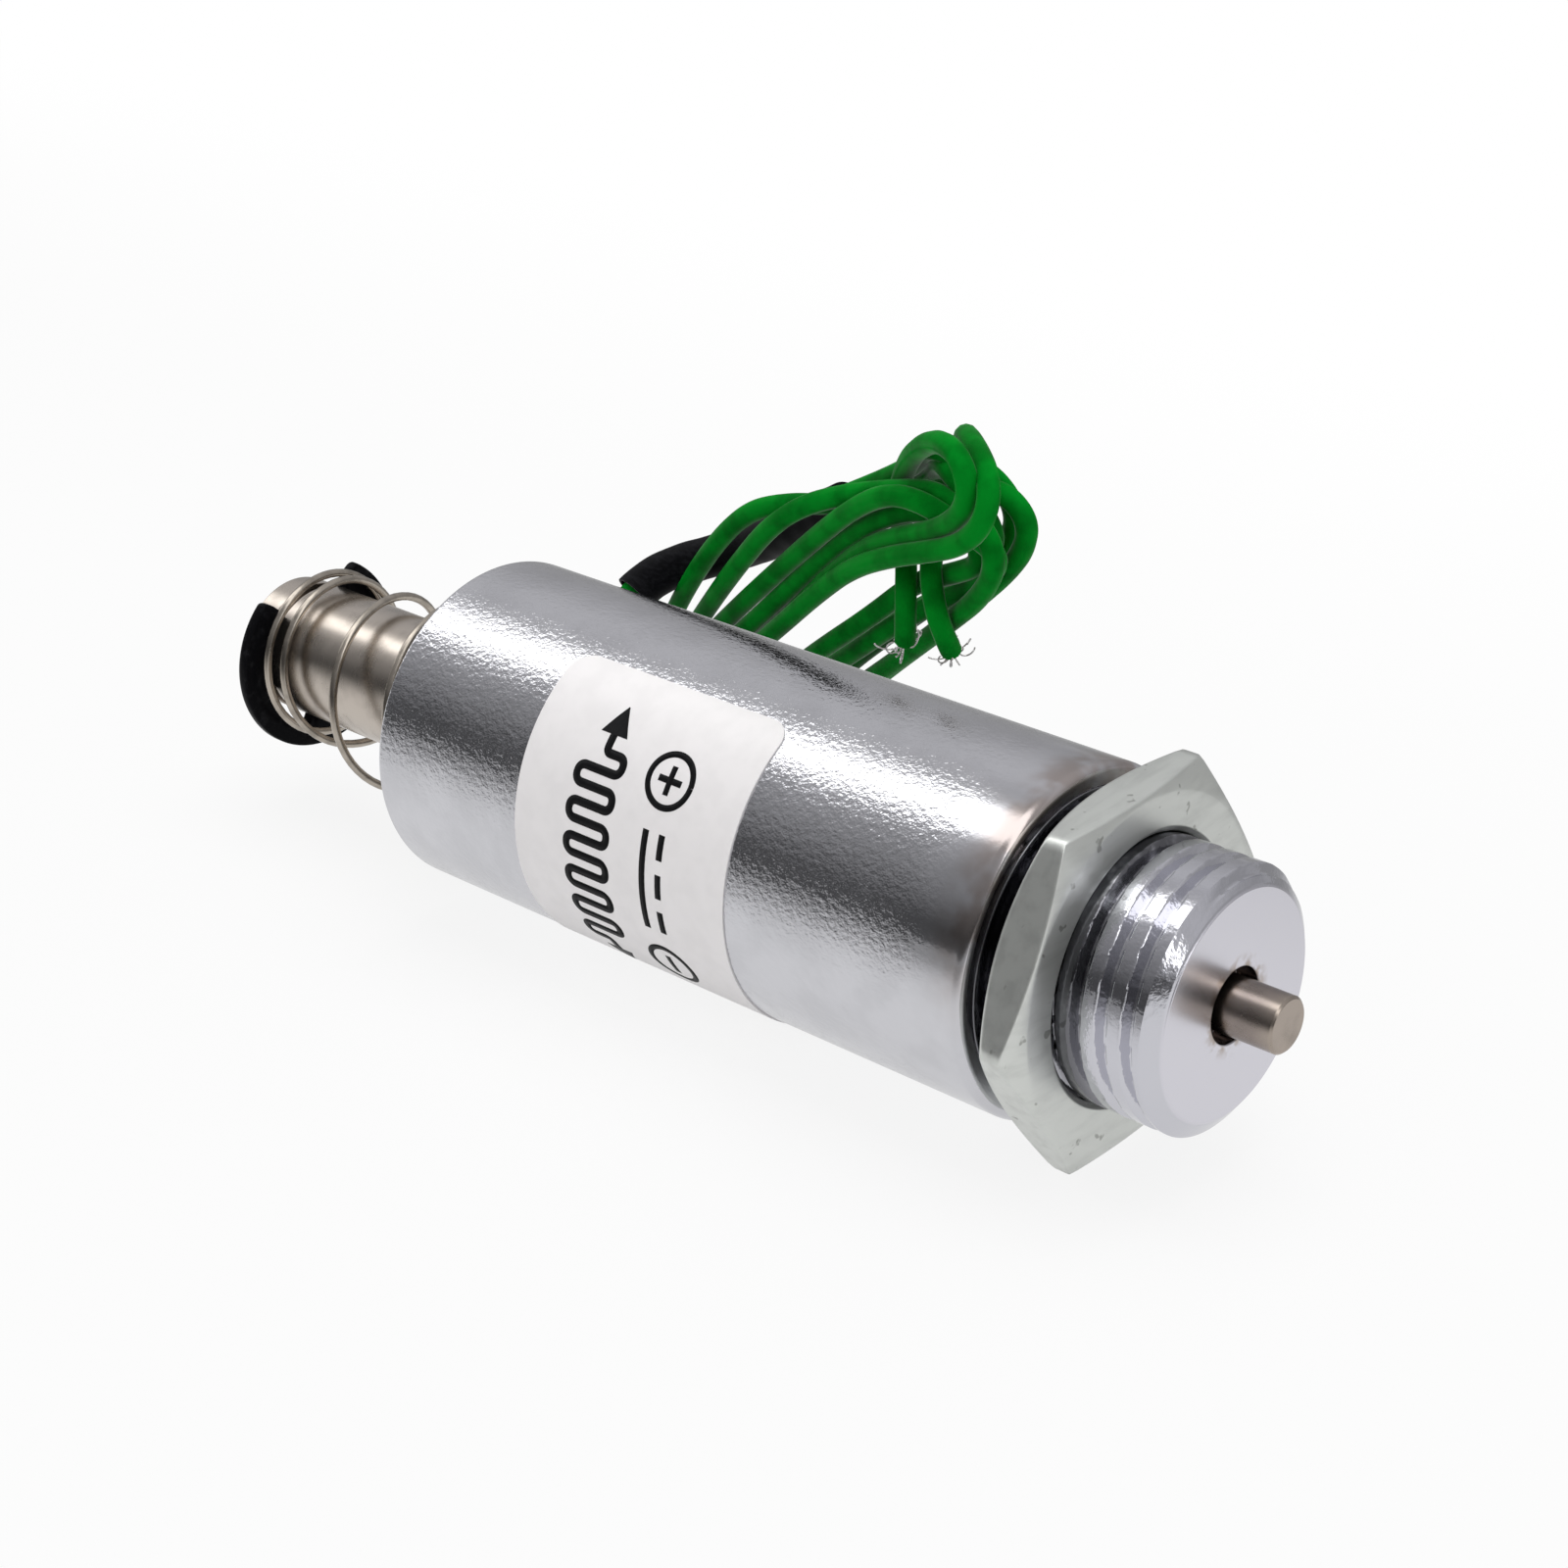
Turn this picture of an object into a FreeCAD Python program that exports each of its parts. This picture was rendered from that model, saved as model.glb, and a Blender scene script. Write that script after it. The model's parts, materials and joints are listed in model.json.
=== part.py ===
import FreeCAD, Part
import math
import os

# Push pull solenoid: a tubular coil case with a threaded nose, a spring returned plunger and a push pin.
# The axis of the solenoid runs along X, the pin points to +X and Z is up.
# Lengths along the axis are measured from the front face of the case, forward positive.

Vec = FreeCAD.Vector

# Small gaps between pieces that seat in one another
seat_gap = 0.02
slide_gap = 0.05

# Case
case_diameter = 19.0
case_length = 42.0
case_wall = 1.1
case_front_round = 1.0
case_rear_round = 0.3

# Front pole piece
flange_thickness = 3.0
undercut_length = 0.9
undercut_depth = 0.7
boss_diameter = 14.0
boss_length = 9.4
boss_chamfer_length = 0.7
boss_chamfer_depth = 1.0
thread_relief_start = 4.6
thread_relief_width = 0.6
thread_relief_depth = 0.35
core_length = 10.0
seat_depth = 2.6
seat_mouth_diameter = 7.2
seat_floor_diameter = 3.8
pin_recess_diameter = 4.0
pin_recess_depth = 1.3

# Mounting nut
nut_across_flats = 19.0
nut_thickness = 2.8
nut_to_case = 0.85
nut_bore_clearance = 0.05
nut_countersink = 0.3
nut_face_diameter = 18.4
nut_rear_chamfer_angle = 30.0
nut_front_chamfer_angle = 15.0
nut_corner_angle = -65.0

# Rear of the case
rear_plate_recess = 0.4
rear_plate_thickness = 1.3

# Guide tube, bobbin and winding
guide_wall = 0.45
bobbin_wall = 0.78
bobbin_to_case = 0.2
bobbin_rear_flange = 0.6
bobbin_front_flange = 1.0
lead_slot_width = 2.1
lead_notch_width = 3.0
winding_below_flange = 0.5
tape_thickness = 0.13

# Plunger, pin, shim and clip
plunger_diameter = 8.0
plunger_out_of_case = 18.9
plunger_chamfer = 0.5
working_gap = 8.35
nose_cone_diameter = 7.1
nose_flat_diameter = 3.7
pin_diameter = 3.0
pin_seat_depth = 8.0
pin_protrusion = 3.0
pin_tip_chamfer = 0.12
pin_seat_gap = 0.01
shim_diameter = 3.6
shim_thickness = 0.25
groove_diameter = 6.0
groove_to_end = 2.05
clip_thickness = 0.7
clip_play = 0.05
clip_diameter = 11.9
clip_band_inner_diameter = 8.9
clip_offset = 0.3
clip_prong_width = 2.2
clip_opening_half_angle = 37.0
clip_opening_angle = 85.0
clip_side_prong_end_angle = 101.0
clip_tip_round = 0.5

# Return spring
wire_diameter = 0.5
spring_small_radius = 4.87
spring_large_radius = 6.3
spring_small_end_turns = 1.6
spring_small_end_pitch = 1.1
spring_large_end_turns = 1.45
spring_large_end_pitch = 1.8
spring_free_turns = 2.05
spring_start_angle = 200.0
spring_points_per_turn = 16

# Rating label
label_rear = 30.7
label_width = 15.3
label_top_angle = 65.0
label_bottom_angle = -104.0
label_corner_radius = 1.4
label_thickness = 0.07

# Lead exit, at the back of the case
exit_from_rear = 3.1
exit_angle = 38.0
lead_hole_diameter = 2.6
grommet_inset = 0.4
splice_diameter = 0.96
splice_to_case = 1.38

# Leads
lead_diameter = 1.0
lead_pitch = 1.06
sleeve_inner_diameter = 2.16
sleeve_wall = 0.17
sleeve_start_height = 0.7
sleeve_last_share = 0.75
strand_bundle_diameter = 0.66
strand_length = 1.5

# Hank of folded leads, which leans against the back of the case and stands on the floor
hank_lean = 30.0
hank_thickness = 4.2
hank_to_case = 0.2
hank_edge_round = 2.0
hank_floor_gap = 0.02
hank_low_u = 1.8
hank_low_radius = 6.1
hank_high_u = 30.0
hank_high_v = 15.8
hank_high_radius = 5.4

# Route of the two leads from the case to the hank, as (u, v, w) on the leaning plane of the hank:
# u forward from the rear end of the case, v up the lean and w away from the case
lead_route_uvw = [
    (7.2, 1.7, 3.0),
    (11.1, 3.6, 3.6),
    (17.9, 8.3, 3.7),
    (23.5, 11.9, 3.6),
    (27.4, 15.0, 2.9),
    (30.0, 18.2, 1.6),
]
first_route_height = 2.2

# Ends of the leads, which hang in front of the hank, from the top to the cut end
tail_a_uvw = [(28.7, 13.6, -1.6), (28.5, 11.3, -2.65), (27.35, 7.95, -2.8)]
tail_b_uvw = [(31.1, 14.4, -1.6), (31.1, 11.9, -2.65), (30.3, 8.2, -2.8)]

# Sizes worked out from the above
case_radius = case_diameter / 2
case_bore_radius = case_radius - case_wall
press_radius = case_bore_radius - seat_gap
boss_radius = boss_diameter / 2
boss_face_radius = boss_radius - boss_chamfer_depth
rear_plate_rear = -(case_length - rear_plate_recess)
rear_plate_front = rear_plate_rear + rear_plate_thickness
plunger_radius = plunger_diameter / 2
guide_inner_radius = plunger_radius + slide_gap
guide_outer_radius = guide_inner_radius + guide_wall
core_radius = guide_inner_radius - seat_gap
core_rear = -(flange_thickness + core_length)
seat_floor = core_rear + seat_depth
bobbin_inner_radius = guide_outer_radius + seat_gap
bobbin_core_radius = bobbin_inner_radius + bobbin_wall
bobbin_rear = rear_plate_front + seat_gap
bobbin_front = -(flange_thickness + seat_gap)
winding_rear = bobbin_rear + bobbin_rear_flange + lead_slot_width
winding_front = bobbin_front - bobbin_front_flange - seat_gap
bobbin_flange_radius = case_bore_radius - bobbin_to_case
winding_radius = bobbin_flange_radius - winding_below_flange
pin_radius = pin_diameter / 2
pin_bore_radius = pin_radius + slide_gap
nose_front = seat_floor - working_gap
nose_cone_rear = nose_front - seat_depth
pin_tip = boss_length + pin_protrusion
pin_rear = nose_front - pin_seat_depth
plunger_rear = case_length + plunger_out_of_case
groove_rear = -(plunger_rear - groove_to_end)
clip_rear = groove_rear + clip_play
clip_front = clip_rear + clip_thickness
groove_front = clip_front + clip_play
nut_rear = nut_to_case
nut_front = nut_rear + nut_thickness
nut_corner_radius = nut_across_flats / 2 / math.cos(math.radians(30))
nut_bore_radius = boss_radius + nut_bore_clearance
label_inner_radius = case_radius + seat_gap
exit_x = exit_from_rear - case_length
exit_direction = Vec(0, math.cos(math.radians(exit_angle)), math.sin(math.radians(exit_angle)))
exit_point = Vec(exit_x, 0, 0) + exit_direction * case_radius
lead_radius = lead_diameter / 2
splice_start = bobbin_core_radius + seat_gap
splice_end = case_bore_radius - splice_to_case

# The floor touches the lowest corner of the nut, and the origin is over the middle of the length
axis_height = nut_corner_radius * max(
    -math.sin(math.radians(nut_corner_angle + 60 * corner)) for corner in range(6)
)
middle_shift = (plunger_rear - pin_tip) / 2


def save(shape, name):
    """Move a piece from the axis to its place over the floor and write it."""
    placed = shape.copy()
    placed.translate(Vec(middle_shift, 0, axis_height))
    placed.exportStep("parts/" + name + ".step")
    print(name, "volume", round(placed.Volume, 3), "valid", placed.isValid(), "solids", len(placed.Solids))
    return placed


def rod(radius, start, end):
    """A cylinder on the axis."""
    return Part.makeCylinder(radius, end - start, Vec(start, 0, 0), Vec(1, 0, 0))


def pipe(outer_radius, inner_radius, start, end):
    """A hollow cylinder on the axis."""
    return rod(outer_radius, start, end).cut(rod(inner_radius, start, end))


def turned(profile):
    """A turned piece from the (x, radius) corners of its half section."""
    corners = [Vec(x, 0, radius) for x, radius in profile]
    section = Part.Face(Part.makePolygon(corners + corners[:1]))
    return section.revolve(Vec(0, 0, 0), Vec(1, 0, 0), 360)


def rim_edges(shape, x, radius):
    """The full circles of a given radius at one place along the axis."""
    found = []
    for edge in shape.Edges:
        circle = edge.Curve
        if isinstance(circle, Part.Circle) and abs(circle.Radius - radius) < 1e-6:
            if abs(circle.Center.x - x) < 1e-6:
                found.append(edge)
    return found


def side_direction(angle):
    """The direction at an angle that is 0 towards the viewer's side, -Y, and 90 degrees at the top."""
    return Vec(0, -math.cos(math.radians(angle)), math.sin(math.radians(angle)))


def smooth_path(points):
    """Straight runs joined by tangent arcs, each as large as its two runs allow."""
    edges = []
    radii = []
    start = points[0]
    for before, corner, after in zip(points, points[1:], points[2:]):
        toward = (before - corner).normalize()
        away = (after - corner).normalize()
        turn = math.pi - toward.getAngle(away)
        cut_back = 0.45 * min((before - corner).Length, (after - corner).Length)
        radius = cut_back / math.tan(turn / 2)
        radii.append(round(radius, 1))
        arc_start = corner + toward * cut_back
        arc_end = corner + away * cut_back
        inward = (toward + away).normalize()
        arc_middle = corner + inward * (radius / math.cos(turn / 2) - radius)
        edges.append(Part.LineSegment(start, arc_start).toShape())
        edges.append(Part.Arc(arc_start, arc_middle, arc_end).toShape())
        start = arc_end
    edges.append(Part.LineSegment(start, points[-1]).toShape())
    return Part.Wire(edges), radii


def swept(points, radius, name):
    """A round tube along a route, with its volume compared with section times length."""
    path, radii = smooth_path(points)
    section = Part.Wire(Part.makeCircle(radius, points[0], points[1] - points[0]))
    solid = path.makePipeShell([section], True, True)
    ratio = solid.Volume / (math.pi * radius * radius * path.Length)
    print(name, "length", round(path.Length, 1), "radii", radii, "volume ratio", round(ratio, 4))
    return solid


def hank_point(u, v, w):
    """A point given forward from the rear of the case, up the lean and away from the hank's middle plane."""
    lean = math.radians(hank_lean)
    reach = case_radius + hank_to_case + hank_thickness / 2 + w
    y = reach * math.cos(lean) - v * math.sin(lean)
    z = reach * math.sin(lean) + v * math.cos(lean)
    return Vec(u - case_length, y, z)


def make_case_tube():
    tube = pipe(case_radius, case_bore_radius, -case_length, 0)
    tube = tube.makeFillet(case_front_round, rim_edges(tube, 0, case_radius))
    tube = tube.makeFillet(case_rear_round, rim_edges(tube, -case_length, case_radius))
    hole = Part.makeCylinder(
        lead_hole_diameter / 2, case_radius, Vec(exit_x, 0, 0) + exit_direction * bobbin_core_radius, exit_direction
    )
    return tube.cut(hole)


def make_threaded_bush():
    relief_end = thread_relief_start + thread_relief_width
    relief_radius = boss_radius - thread_relief_depth
    undercut_radius = boss_radius - undercut_depth
    profile = [
        (core_rear, seat_mouth_diameter / 2),
        (core_rear, core_radius),
        (-flange_thickness, core_radius),
        (-flange_thickness, press_radius),
        (0, press_radius),
        (0, undercut_radius),
        (undercut_length, undercut_radius),
        (undercut_length, boss_radius),
        (thread_relief_start, boss_radius),
        (thread_relief_start, relief_radius),
        (relief_end, relief_radius),
        (relief_end, boss_radius),
        (boss_length - boss_chamfer_length, boss_radius),
        (boss_length, boss_face_radius),
        (boss_length, pin_recess_diameter / 2),
        (boss_length - pin_recess_depth, pin_recess_diameter / 2),
        (boss_length - pin_recess_depth, pin_bore_radius),
        (seat_floor, pin_bore_radius),
        (seat_floor, seat_floor_diameter / 2),
    ]
    return turned(profile)


def nut_chamfer(face_x, outward, angle):
    """The cone that takes the corners of the nut down towards one face."""
    face_radius = nut_face_diameter / 2
    fall = math.tan(math.radians(angle))
    reach = nut_thickness / 2
    far_radius = face_radius + reach / fall
    middle_x = face_x - outward * reach
    return turned([(face_x, 0), (face_x, face_radius), (middle_x, far_radius), (middle_x, 0)])


def make_mounting_nut():
    corners = []
    for corner in range(6):
        direction = side_direction(nut_corner_angle + 60 * corner)
        corners.append(Vec(nut_rear, 0, 0) + direction * nut_corner_radius)
    prism = Part.Face(Part.makePolygon(corners + corners[:1])).extrude(Vec(nut_thickness, 0, 0))
    rear_half = nut_chamfer(nut_rear, -1, nut_rear_chamfer_angle)
    front_half = nut_chamfer(nut_front, 1, nut_front_chamfer_angle)
    nut = prism.common(rear_half.fuse(front_half))
    nut = nut.cut(rod(nut_bore_radius, nut_rear, nut_front))
    mouth = nut_bore_radius + nut_countersink
    for face_x, inward in ((nut_rear, 1), (nut_front, -1)):
        inner_x = face_x + inward * nut_countersink
        nut = nut.cut(turned([(face_x, 0), (face_x, mouth), (inner_x, nut_bore_radius), (inner_x, 0)]))
    return nut


def make_rear_plate():
    return pipe(press_radius, bobbin_inner_radius, rear_plate_rear, rear_plate_front)


def make_guide_tube():
    return pipe(guide_outer_radius, guide_inner_radius, rear_plate_rear, -(flange_thickness + seat_gap))


def make_bobbin():
    spool = pipe(bobbin_core_radius, bobbin_inner_radius, bobbin_rear, bobbin_front)
    rear_flange = pipe(bobbin_flange_radius, bobbin_inner_radius, bobbin_rear, bobbin_rear + bobbin_rear_flange)
    front_flange = pipe(bobbin_flange_radius, bobbin_inner_radius, bobbin_front - bobbin_front_flange, bobbin_front)
    spool = spool.fuse([rear_flange, front_flange]).removeSplitter()
    # The notch in the rear flange gives the leads room where they come in
    notch_corner = Vec(bobbin_rear, -lead_notch_width / 2, winding_radius)
    notch = Part.makeBox(bobbin_rear_flange, lead_notch_width, bobbin_flange_radius, notch_corner)
    notch.rotate(Vec(0, 0, 0), Vec(1, 0, 0), exit_angle - 90)
    return spool.cut(notch)


def make_coil_winding():
    return pipe(winding_radius, bobbin_core_radius + seat_gap, winding_rear, winding_front)


def make_winding_tape():
    inner = winding_radius + seat_gap
    return pipe(inner + tape_thickness, inner, winding_rear, winding_front)


def make_plunger():
    groove_radius = groove_diameter / 2
    profile = [
        (-plunger_rear, 0),
        (-plunger_rear, plunger_radius - plunger_chamfer),
        (-plunger_rear + plunger_chamfer, plunger_radius),
        (groove_rear, plunger_radius),
        (groove_rear, groove_radius),
        (groove_front, groove_radius),
        (groove_front, plunger_radius),
        (nose_cone_rear, plunger_radius),
        (nose_cone_rear, nose_cone_diameter / 2),
        (nose_front, nose_flat_diameter / 2),
        (nose_front, pin_radius + pin_seat_gap),
        (pin_rear, pin_radius + pin_seat_gap),
        (pin_rear, 0),
    ]
    return turned(profile)


def make_push_pin():
    profile = [
        (pin_rear, 0),
        (pin_rear, pin_radius),
        (pin_tip - pin_tip_chamfer, pin_radius),
        (pin_tip, pin_radius - pin_tip_chamfer),
        (pin_tip, 0),
    ]
    return turned(profile)


def make_residual_shim():
    return pipe(shim_diameter / 2, pin_radius + seat_gap, nose_front, nose_front + shim_thickness)


def clip_sector(from_angle, to_angle):
    """The part of a wide round plate between two angles from the middle of the clip's opening."""
    reach = 2 * clip_diameter
    first = Vec(clip_rear, 0, 0) + side_direction(clip_opening_angle + from_angle) * reach
    centre = Vec(clip_rear, 0, 0)
    last = Vec(clip_rear, 0, 0) + side_direction(clip_opening_angle + to_angle) * reach
    middle = Vec(clip_rear, 0, 0) + side_direction(clip_opening_angle + (from_angle + to_angle) / 2) * reach
    return Part.Face(Part.makePolygon([centre, first, middle, last, centre])).extrude(Vec(clip_thickness, 0, 0))


def make_retaining_clip():
    """An E clip: an open band whose two ends and middle reach in to grip the groove."""
    outer = clip_diameter / 2
    inner = clip_band_inner_diameter / 2
    grip = groove_diameter / 2 + seat_gap
    # The band sits off the axis, away from the opening
    offset = side_direction(clip_opening_angle) * -clip_offset
    plate = rod(outer, clip_rear, clip_front)
    plate.translate(offset)
    bore = rod(inner, clip_rear, clip_front)
    bore.translate(offset)
    side_prongs = [
        clip_sector(clip_opening_half_angle, clip_side_prong_end_angle),
        clip_sector(-clip_side_prong_end_angle, -clip_opening_half_angle),
    ]
    middle_prong = Part.makeBox(clip_thickness, clip_prong_width, outer, Vec(clip_rear, -clip_prong_width / 2, 0))
    # The box points up, and the opening angle counts from the viewer's side
    middle_prong.rotate(Vec(0, 0, 0), Vec(1, 0, 0), 270 - clip_opening_angle)
    bore = bore.cut(side_prongs[0]).cut(side_prongs[1]).cut(middle_prong)
    clip = plate.cut(bore).cut(clip_sector(-clip_opening_half_angle, clip_opening_half_angle))
    clip = clip.cut(rod(grip, clip_rear, clip_front))
    tips = []
    for edge in clip.Edges:
        middle = edge.CenterOfMass
        across = Vec(0, middle.y, middle.z)
        lengthwise = abs(edge.BoundBox.XLength - clip_thickness) < 1e-6 and edge.BoundBox.YLength < 1e-6
        turn = math.degrees(across.getAngle(side_direction(clip_opening_angle)))
        if lengthwise and across.Length > (grip + outer) / 2 and turn < clip_opening_half_angle + 1:
            tips.append(edge)
    return clip.makeFillet(clip_tip_round, tips)


def spring_point(turns):
    """The wire's centre after some turns from the clip: close end turns, an open middle, a widening radius."""
    last_free = spring_small_end_turns + spring_free_turns
    all_turns = last_free + spring_large_end_turns
    start = clip_front + seat_gap + wire_diameter / 2
    end = rear_plate_rear - seat_gap - wire_diameter / 2
    free_start = start + spring_small_end_turns * spring_small_end_pitch
    free_end = end - spring_large_end_turns * spring_large_end_pitch
    if turns <= spring_small_end_turns:
        x = start + turns * spring_small_end_pitch
    elif turns <= last_free:
        x = free_start + (free_end - free_start) * (turns - spring_small_end_turns) / spring_free_turns
    else:
        x = end - (all_turns - turns) * spring_large_end_pitch
    radius = spring_small_radius + (spring_large_radius - spring_small_radius) * turns / all_turns
    return Vec(x, 0, 0) + side_direction(spring_start_angle - 360 * turns) * radius


def make_return_spring():
    all_turns = spring_small_end_turns + spring_free_turns + spring_large_end_turns
    count = int(round(all_turns * spring_points_per_turn))
    points = [spring_point(all_turns * step / count) for step in range(count + 1)]
    curve = Part.BSplineCurve()
    curve.interpolate(points)
    path = Part.Wire(curve.toShape())
    start_tangent = curve.tangent(curve.FirstParameter)[0]
    section = Part.Wire(Part.makeCircle(wire_diameter / 2, points[0], start_tangent))
    wire = path.makePipeShell([section], True, True)
    print("return_spring turns", round(all_turns, 2), "wire length", round(path.Length, 1))
    return wire


def label_corner(x, toward_middle, angle, turn_in):
    """What is cut off one corner of the label to round it."""
    size = label_corner_radius
    inner = case_radius - size
    low_corner = Vec(min(0, toward_middle) * size, min(0, turn_in) * size, inner)
    block = Part.makeBox(size, size, 2 * size, low_corner)
    block = block.cut(Part.makeCylinder(size, 2 * size, Vec(toward_middle * size, turn_in * size, inner)))
    block.rotate(Vec(0, 0, 0), Vec(1, 0, 0), 90 - angle)
    block.translate(Vec(x, 0, 0))
    return block


def make_rating_label():
    """A thin sheet round the case with rounded corners."""
    rear = -label_rear
    front = rear + label_width
    outer = label_inner_radius + label_thickness
    corners = [
        Vec(rear, 0, label_inner_radius),
        Vec(front, 0, label_inner_radius),
        Vec(front, 0, outer),
        Vec(rear, 0, outer),
    ]
    section = Part.Face(Part.makePolygon(corners + corners[:1]))
    # Upright is 90 degrees from the viewer's side, so the section starts at the label's top edge
    section.rotate(Vec(0, 0, 0), Vec(1, 0, 0), 90 - label_top_angle)
    sheet = section.revolve(Vec(0, 0, 0), Vec(1, 0, 0), label_top_angle - label_bottom_angle)
    for x, toward_middle in ((rear, 1), (front, -1)):
        for angle, turn_in in ((label_top_angle, -1), (label_bottom_angle, 1)):
            sheet = sheet.cut(label_corner(x, toward_middle, angle, turn_in))
    return sheet


def lead_offset():
    """Half the way from one lead to the other: the leads lie side by side across the sleeve."""
    along = hank_point(*lead_route_uvw[2]) - exit_point
    across = exit_direction.cross(along).normalize()
    return across * (lead_pitch / 2)


def lead_route():
    """The middle line between the two leads, from the splices out through the grommet to the hank."""
    inside = Vec(exit_x, 0, 0) + exit_direction * splice_end
    above = exit_point + exit_direction * first_route_height
    return [inside, above] + [hank_point(*place) for place in lead_route_uvw]


def make_lead(side, name):
    shift = lead_offset() * side
    return swept([point + shift for point in lead_route()], lead_radius, name)


def make_lead_splice(side):
    base = Vec(exit_x, 0, 0) + exit_direction * splice_start + lead_offset() * side
    length = splice_end - seat_gap - splice_start
    return Part.makeCylinder(splice_diameter / 2, length, base, exit_direction)


def make_lead_grommet():
    inner = case_bore_radius - grommet_inset
    base = Vec(exit_x, 0, 0) + exit_direction * inner
    body = Part.makeCylinder(lead_hole_diameter / 2 - seat_gap, case_wall + grommet_inset, base, exit_direction)
    for side in (-1, 1):
        start = base + lead_offset() * side
        body = body.cut(
            Part.makeCylinder(lead_radius + seat_gap, case_wall + 2 * grommet_inset, start, exit_direction)
        )
    return body


def make_lead_sleeve():
    route = lead_route()[:-2]
    route[-1] = route[-2] + (route[-1] - route[-2]) * sleeve_last_share
    inner_radius = sleeve_inner_diameter / 2
    outside = swept(route, inner_radius + sleeve_wall, "lead_sleeve outside")
    inside = swept(route, inner_radius, "lead_sleeve inside")
    sleeve = outside.cut(inside)
    # The cut end stands a little off the case, square to the way out
    half = case_diameter
    block = Part.makeBox(case_diameter, case_diameter, half, Vec(-half / 2, -half / 2, -half))
    block.rotate(Vec(0, 0, 0), Vec(1, 0, 0), exit_angle - 90)
    block.translate(exit_point + exit_direction * sleeve_start_height)
    return sleeve.cut(block)


def make_lead_hank():
    """The outer shape of the folded leads: a long oval, wider at the floor, leaning on the case."""
    lean = math.radians(hank_lean)
    reach = case_radius + hank_to_case + hank_thickness / 2
    rim_height = -axis_height + hank_floor_gap + hank_edge_round
    low_v = (rim_height - reach * math.sin(lean)) / math.cos(lean) + hank_low_radius - hank_edge_round
    run = Vec(hank_high_u - hank_low_u, hank_high_v - low_v, 0)
    heading = math.atan2(run.y, run.x)
    flare = math.acos((hank_low_radius - hank_high_radius) / run.Length)

    def on_circle(u, v, radius, angle):
        return Vec(u + radius * math.cos(angle), v + radius * math.sin(angle), 0)

    low = [on_circle(hank_low_u, low_v, hank_low_radius, heading + turn) for turn in (flare, math.pi, -flare)]
    high = [on_circle(hank_high_u, hank_high_v, hank_high_radius, heading + turn) for turn in (-flare, 0, flare)]
    outline = Part.Wire([
        Part.Arc(*low).toShape(),
        Part.LineSegment(low[2], high[0]).toShape(),
        Part.Arc(*high).toShape(),
        Part.LineSegment(high[2], low[0]).toShape(),
    ])
    slab = Part.Face(outline).extrude(Vec(0, 0, hank_thickness))
    flat_edges = [edge for edge in slab.Edges if abs(edge.BoundBox.ZLength) < 1e-6]
    slab = slab.makeFillet(hank_edge_round, flat_edges)
    # Drawn lying under the axis with v along Y, then turned up to the lean behind the case
    slab.translate(Vec(-case_length, 0, -(case_radius + hank_to_case + hank_thickness)))
    slab.rotate(Vec(0, 0, 0), Vec(1, 0, 0), 90 + hank_lean)
    return slab


def make_lead_tail(places, name):
    return swept([hank_point(*place) for place in places], lead_radius, name)


def make_lead_end(places):
    """The bare strands, from the cut end of the insulation onwards."""
    before, cut_end = (hank_point(*place) for place in places[-2:])
    onward = (cut_end - before).normalize()
    return Part.makeCylinder(strand_bundle_diameter / 2, strand_length, cut_end, onward)


os.makedirs("parts", exist_ok=True)

save(make_case_tube(), "case_tube")
save(make_threaded_bush(), "threaded_bush")
save(make_mounting_nut(), "mounting_nut")
save(make_rear_plate(), "rear_plate")
save(make_guide_tube(), "guide_tube")
save(make_bobbin(), "bobbin")
save(make_coil_winding(), "coil_winding")
save(make_winding_tape(), "winding_tape")
save(make_plunger(), "plunger")
save(make_push_pin(), "push_pin")
save(make_residual_shim(), "residual_shim")
save(make_retaining_clip(), "retaining_clip")
save(make_return_spring(), "return_spring")
save(make_rating_label(), "rating_label")
save(make_lead_grommet(), "lead_grommet")
save(make_lead_sleeve(), "lead_sleeve")
save(make_lead_hank(), "lead_hank")
for letter, side, tail in (("a", -1, tail_a_uvw), ("b", 1, tail_b_uvw)):
    save(make_lead_splice(side), "lead_splice_" + letter)
    save(make_lead(side, "lead_tube_" + letter), "lead_tube_" + letter)
    save(make_lead_tail(tail, "lead_tail_" + letter), "lead_tail_" + letter)
    save(make_lead_end(tail), "lead_end_" + letter)
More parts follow.
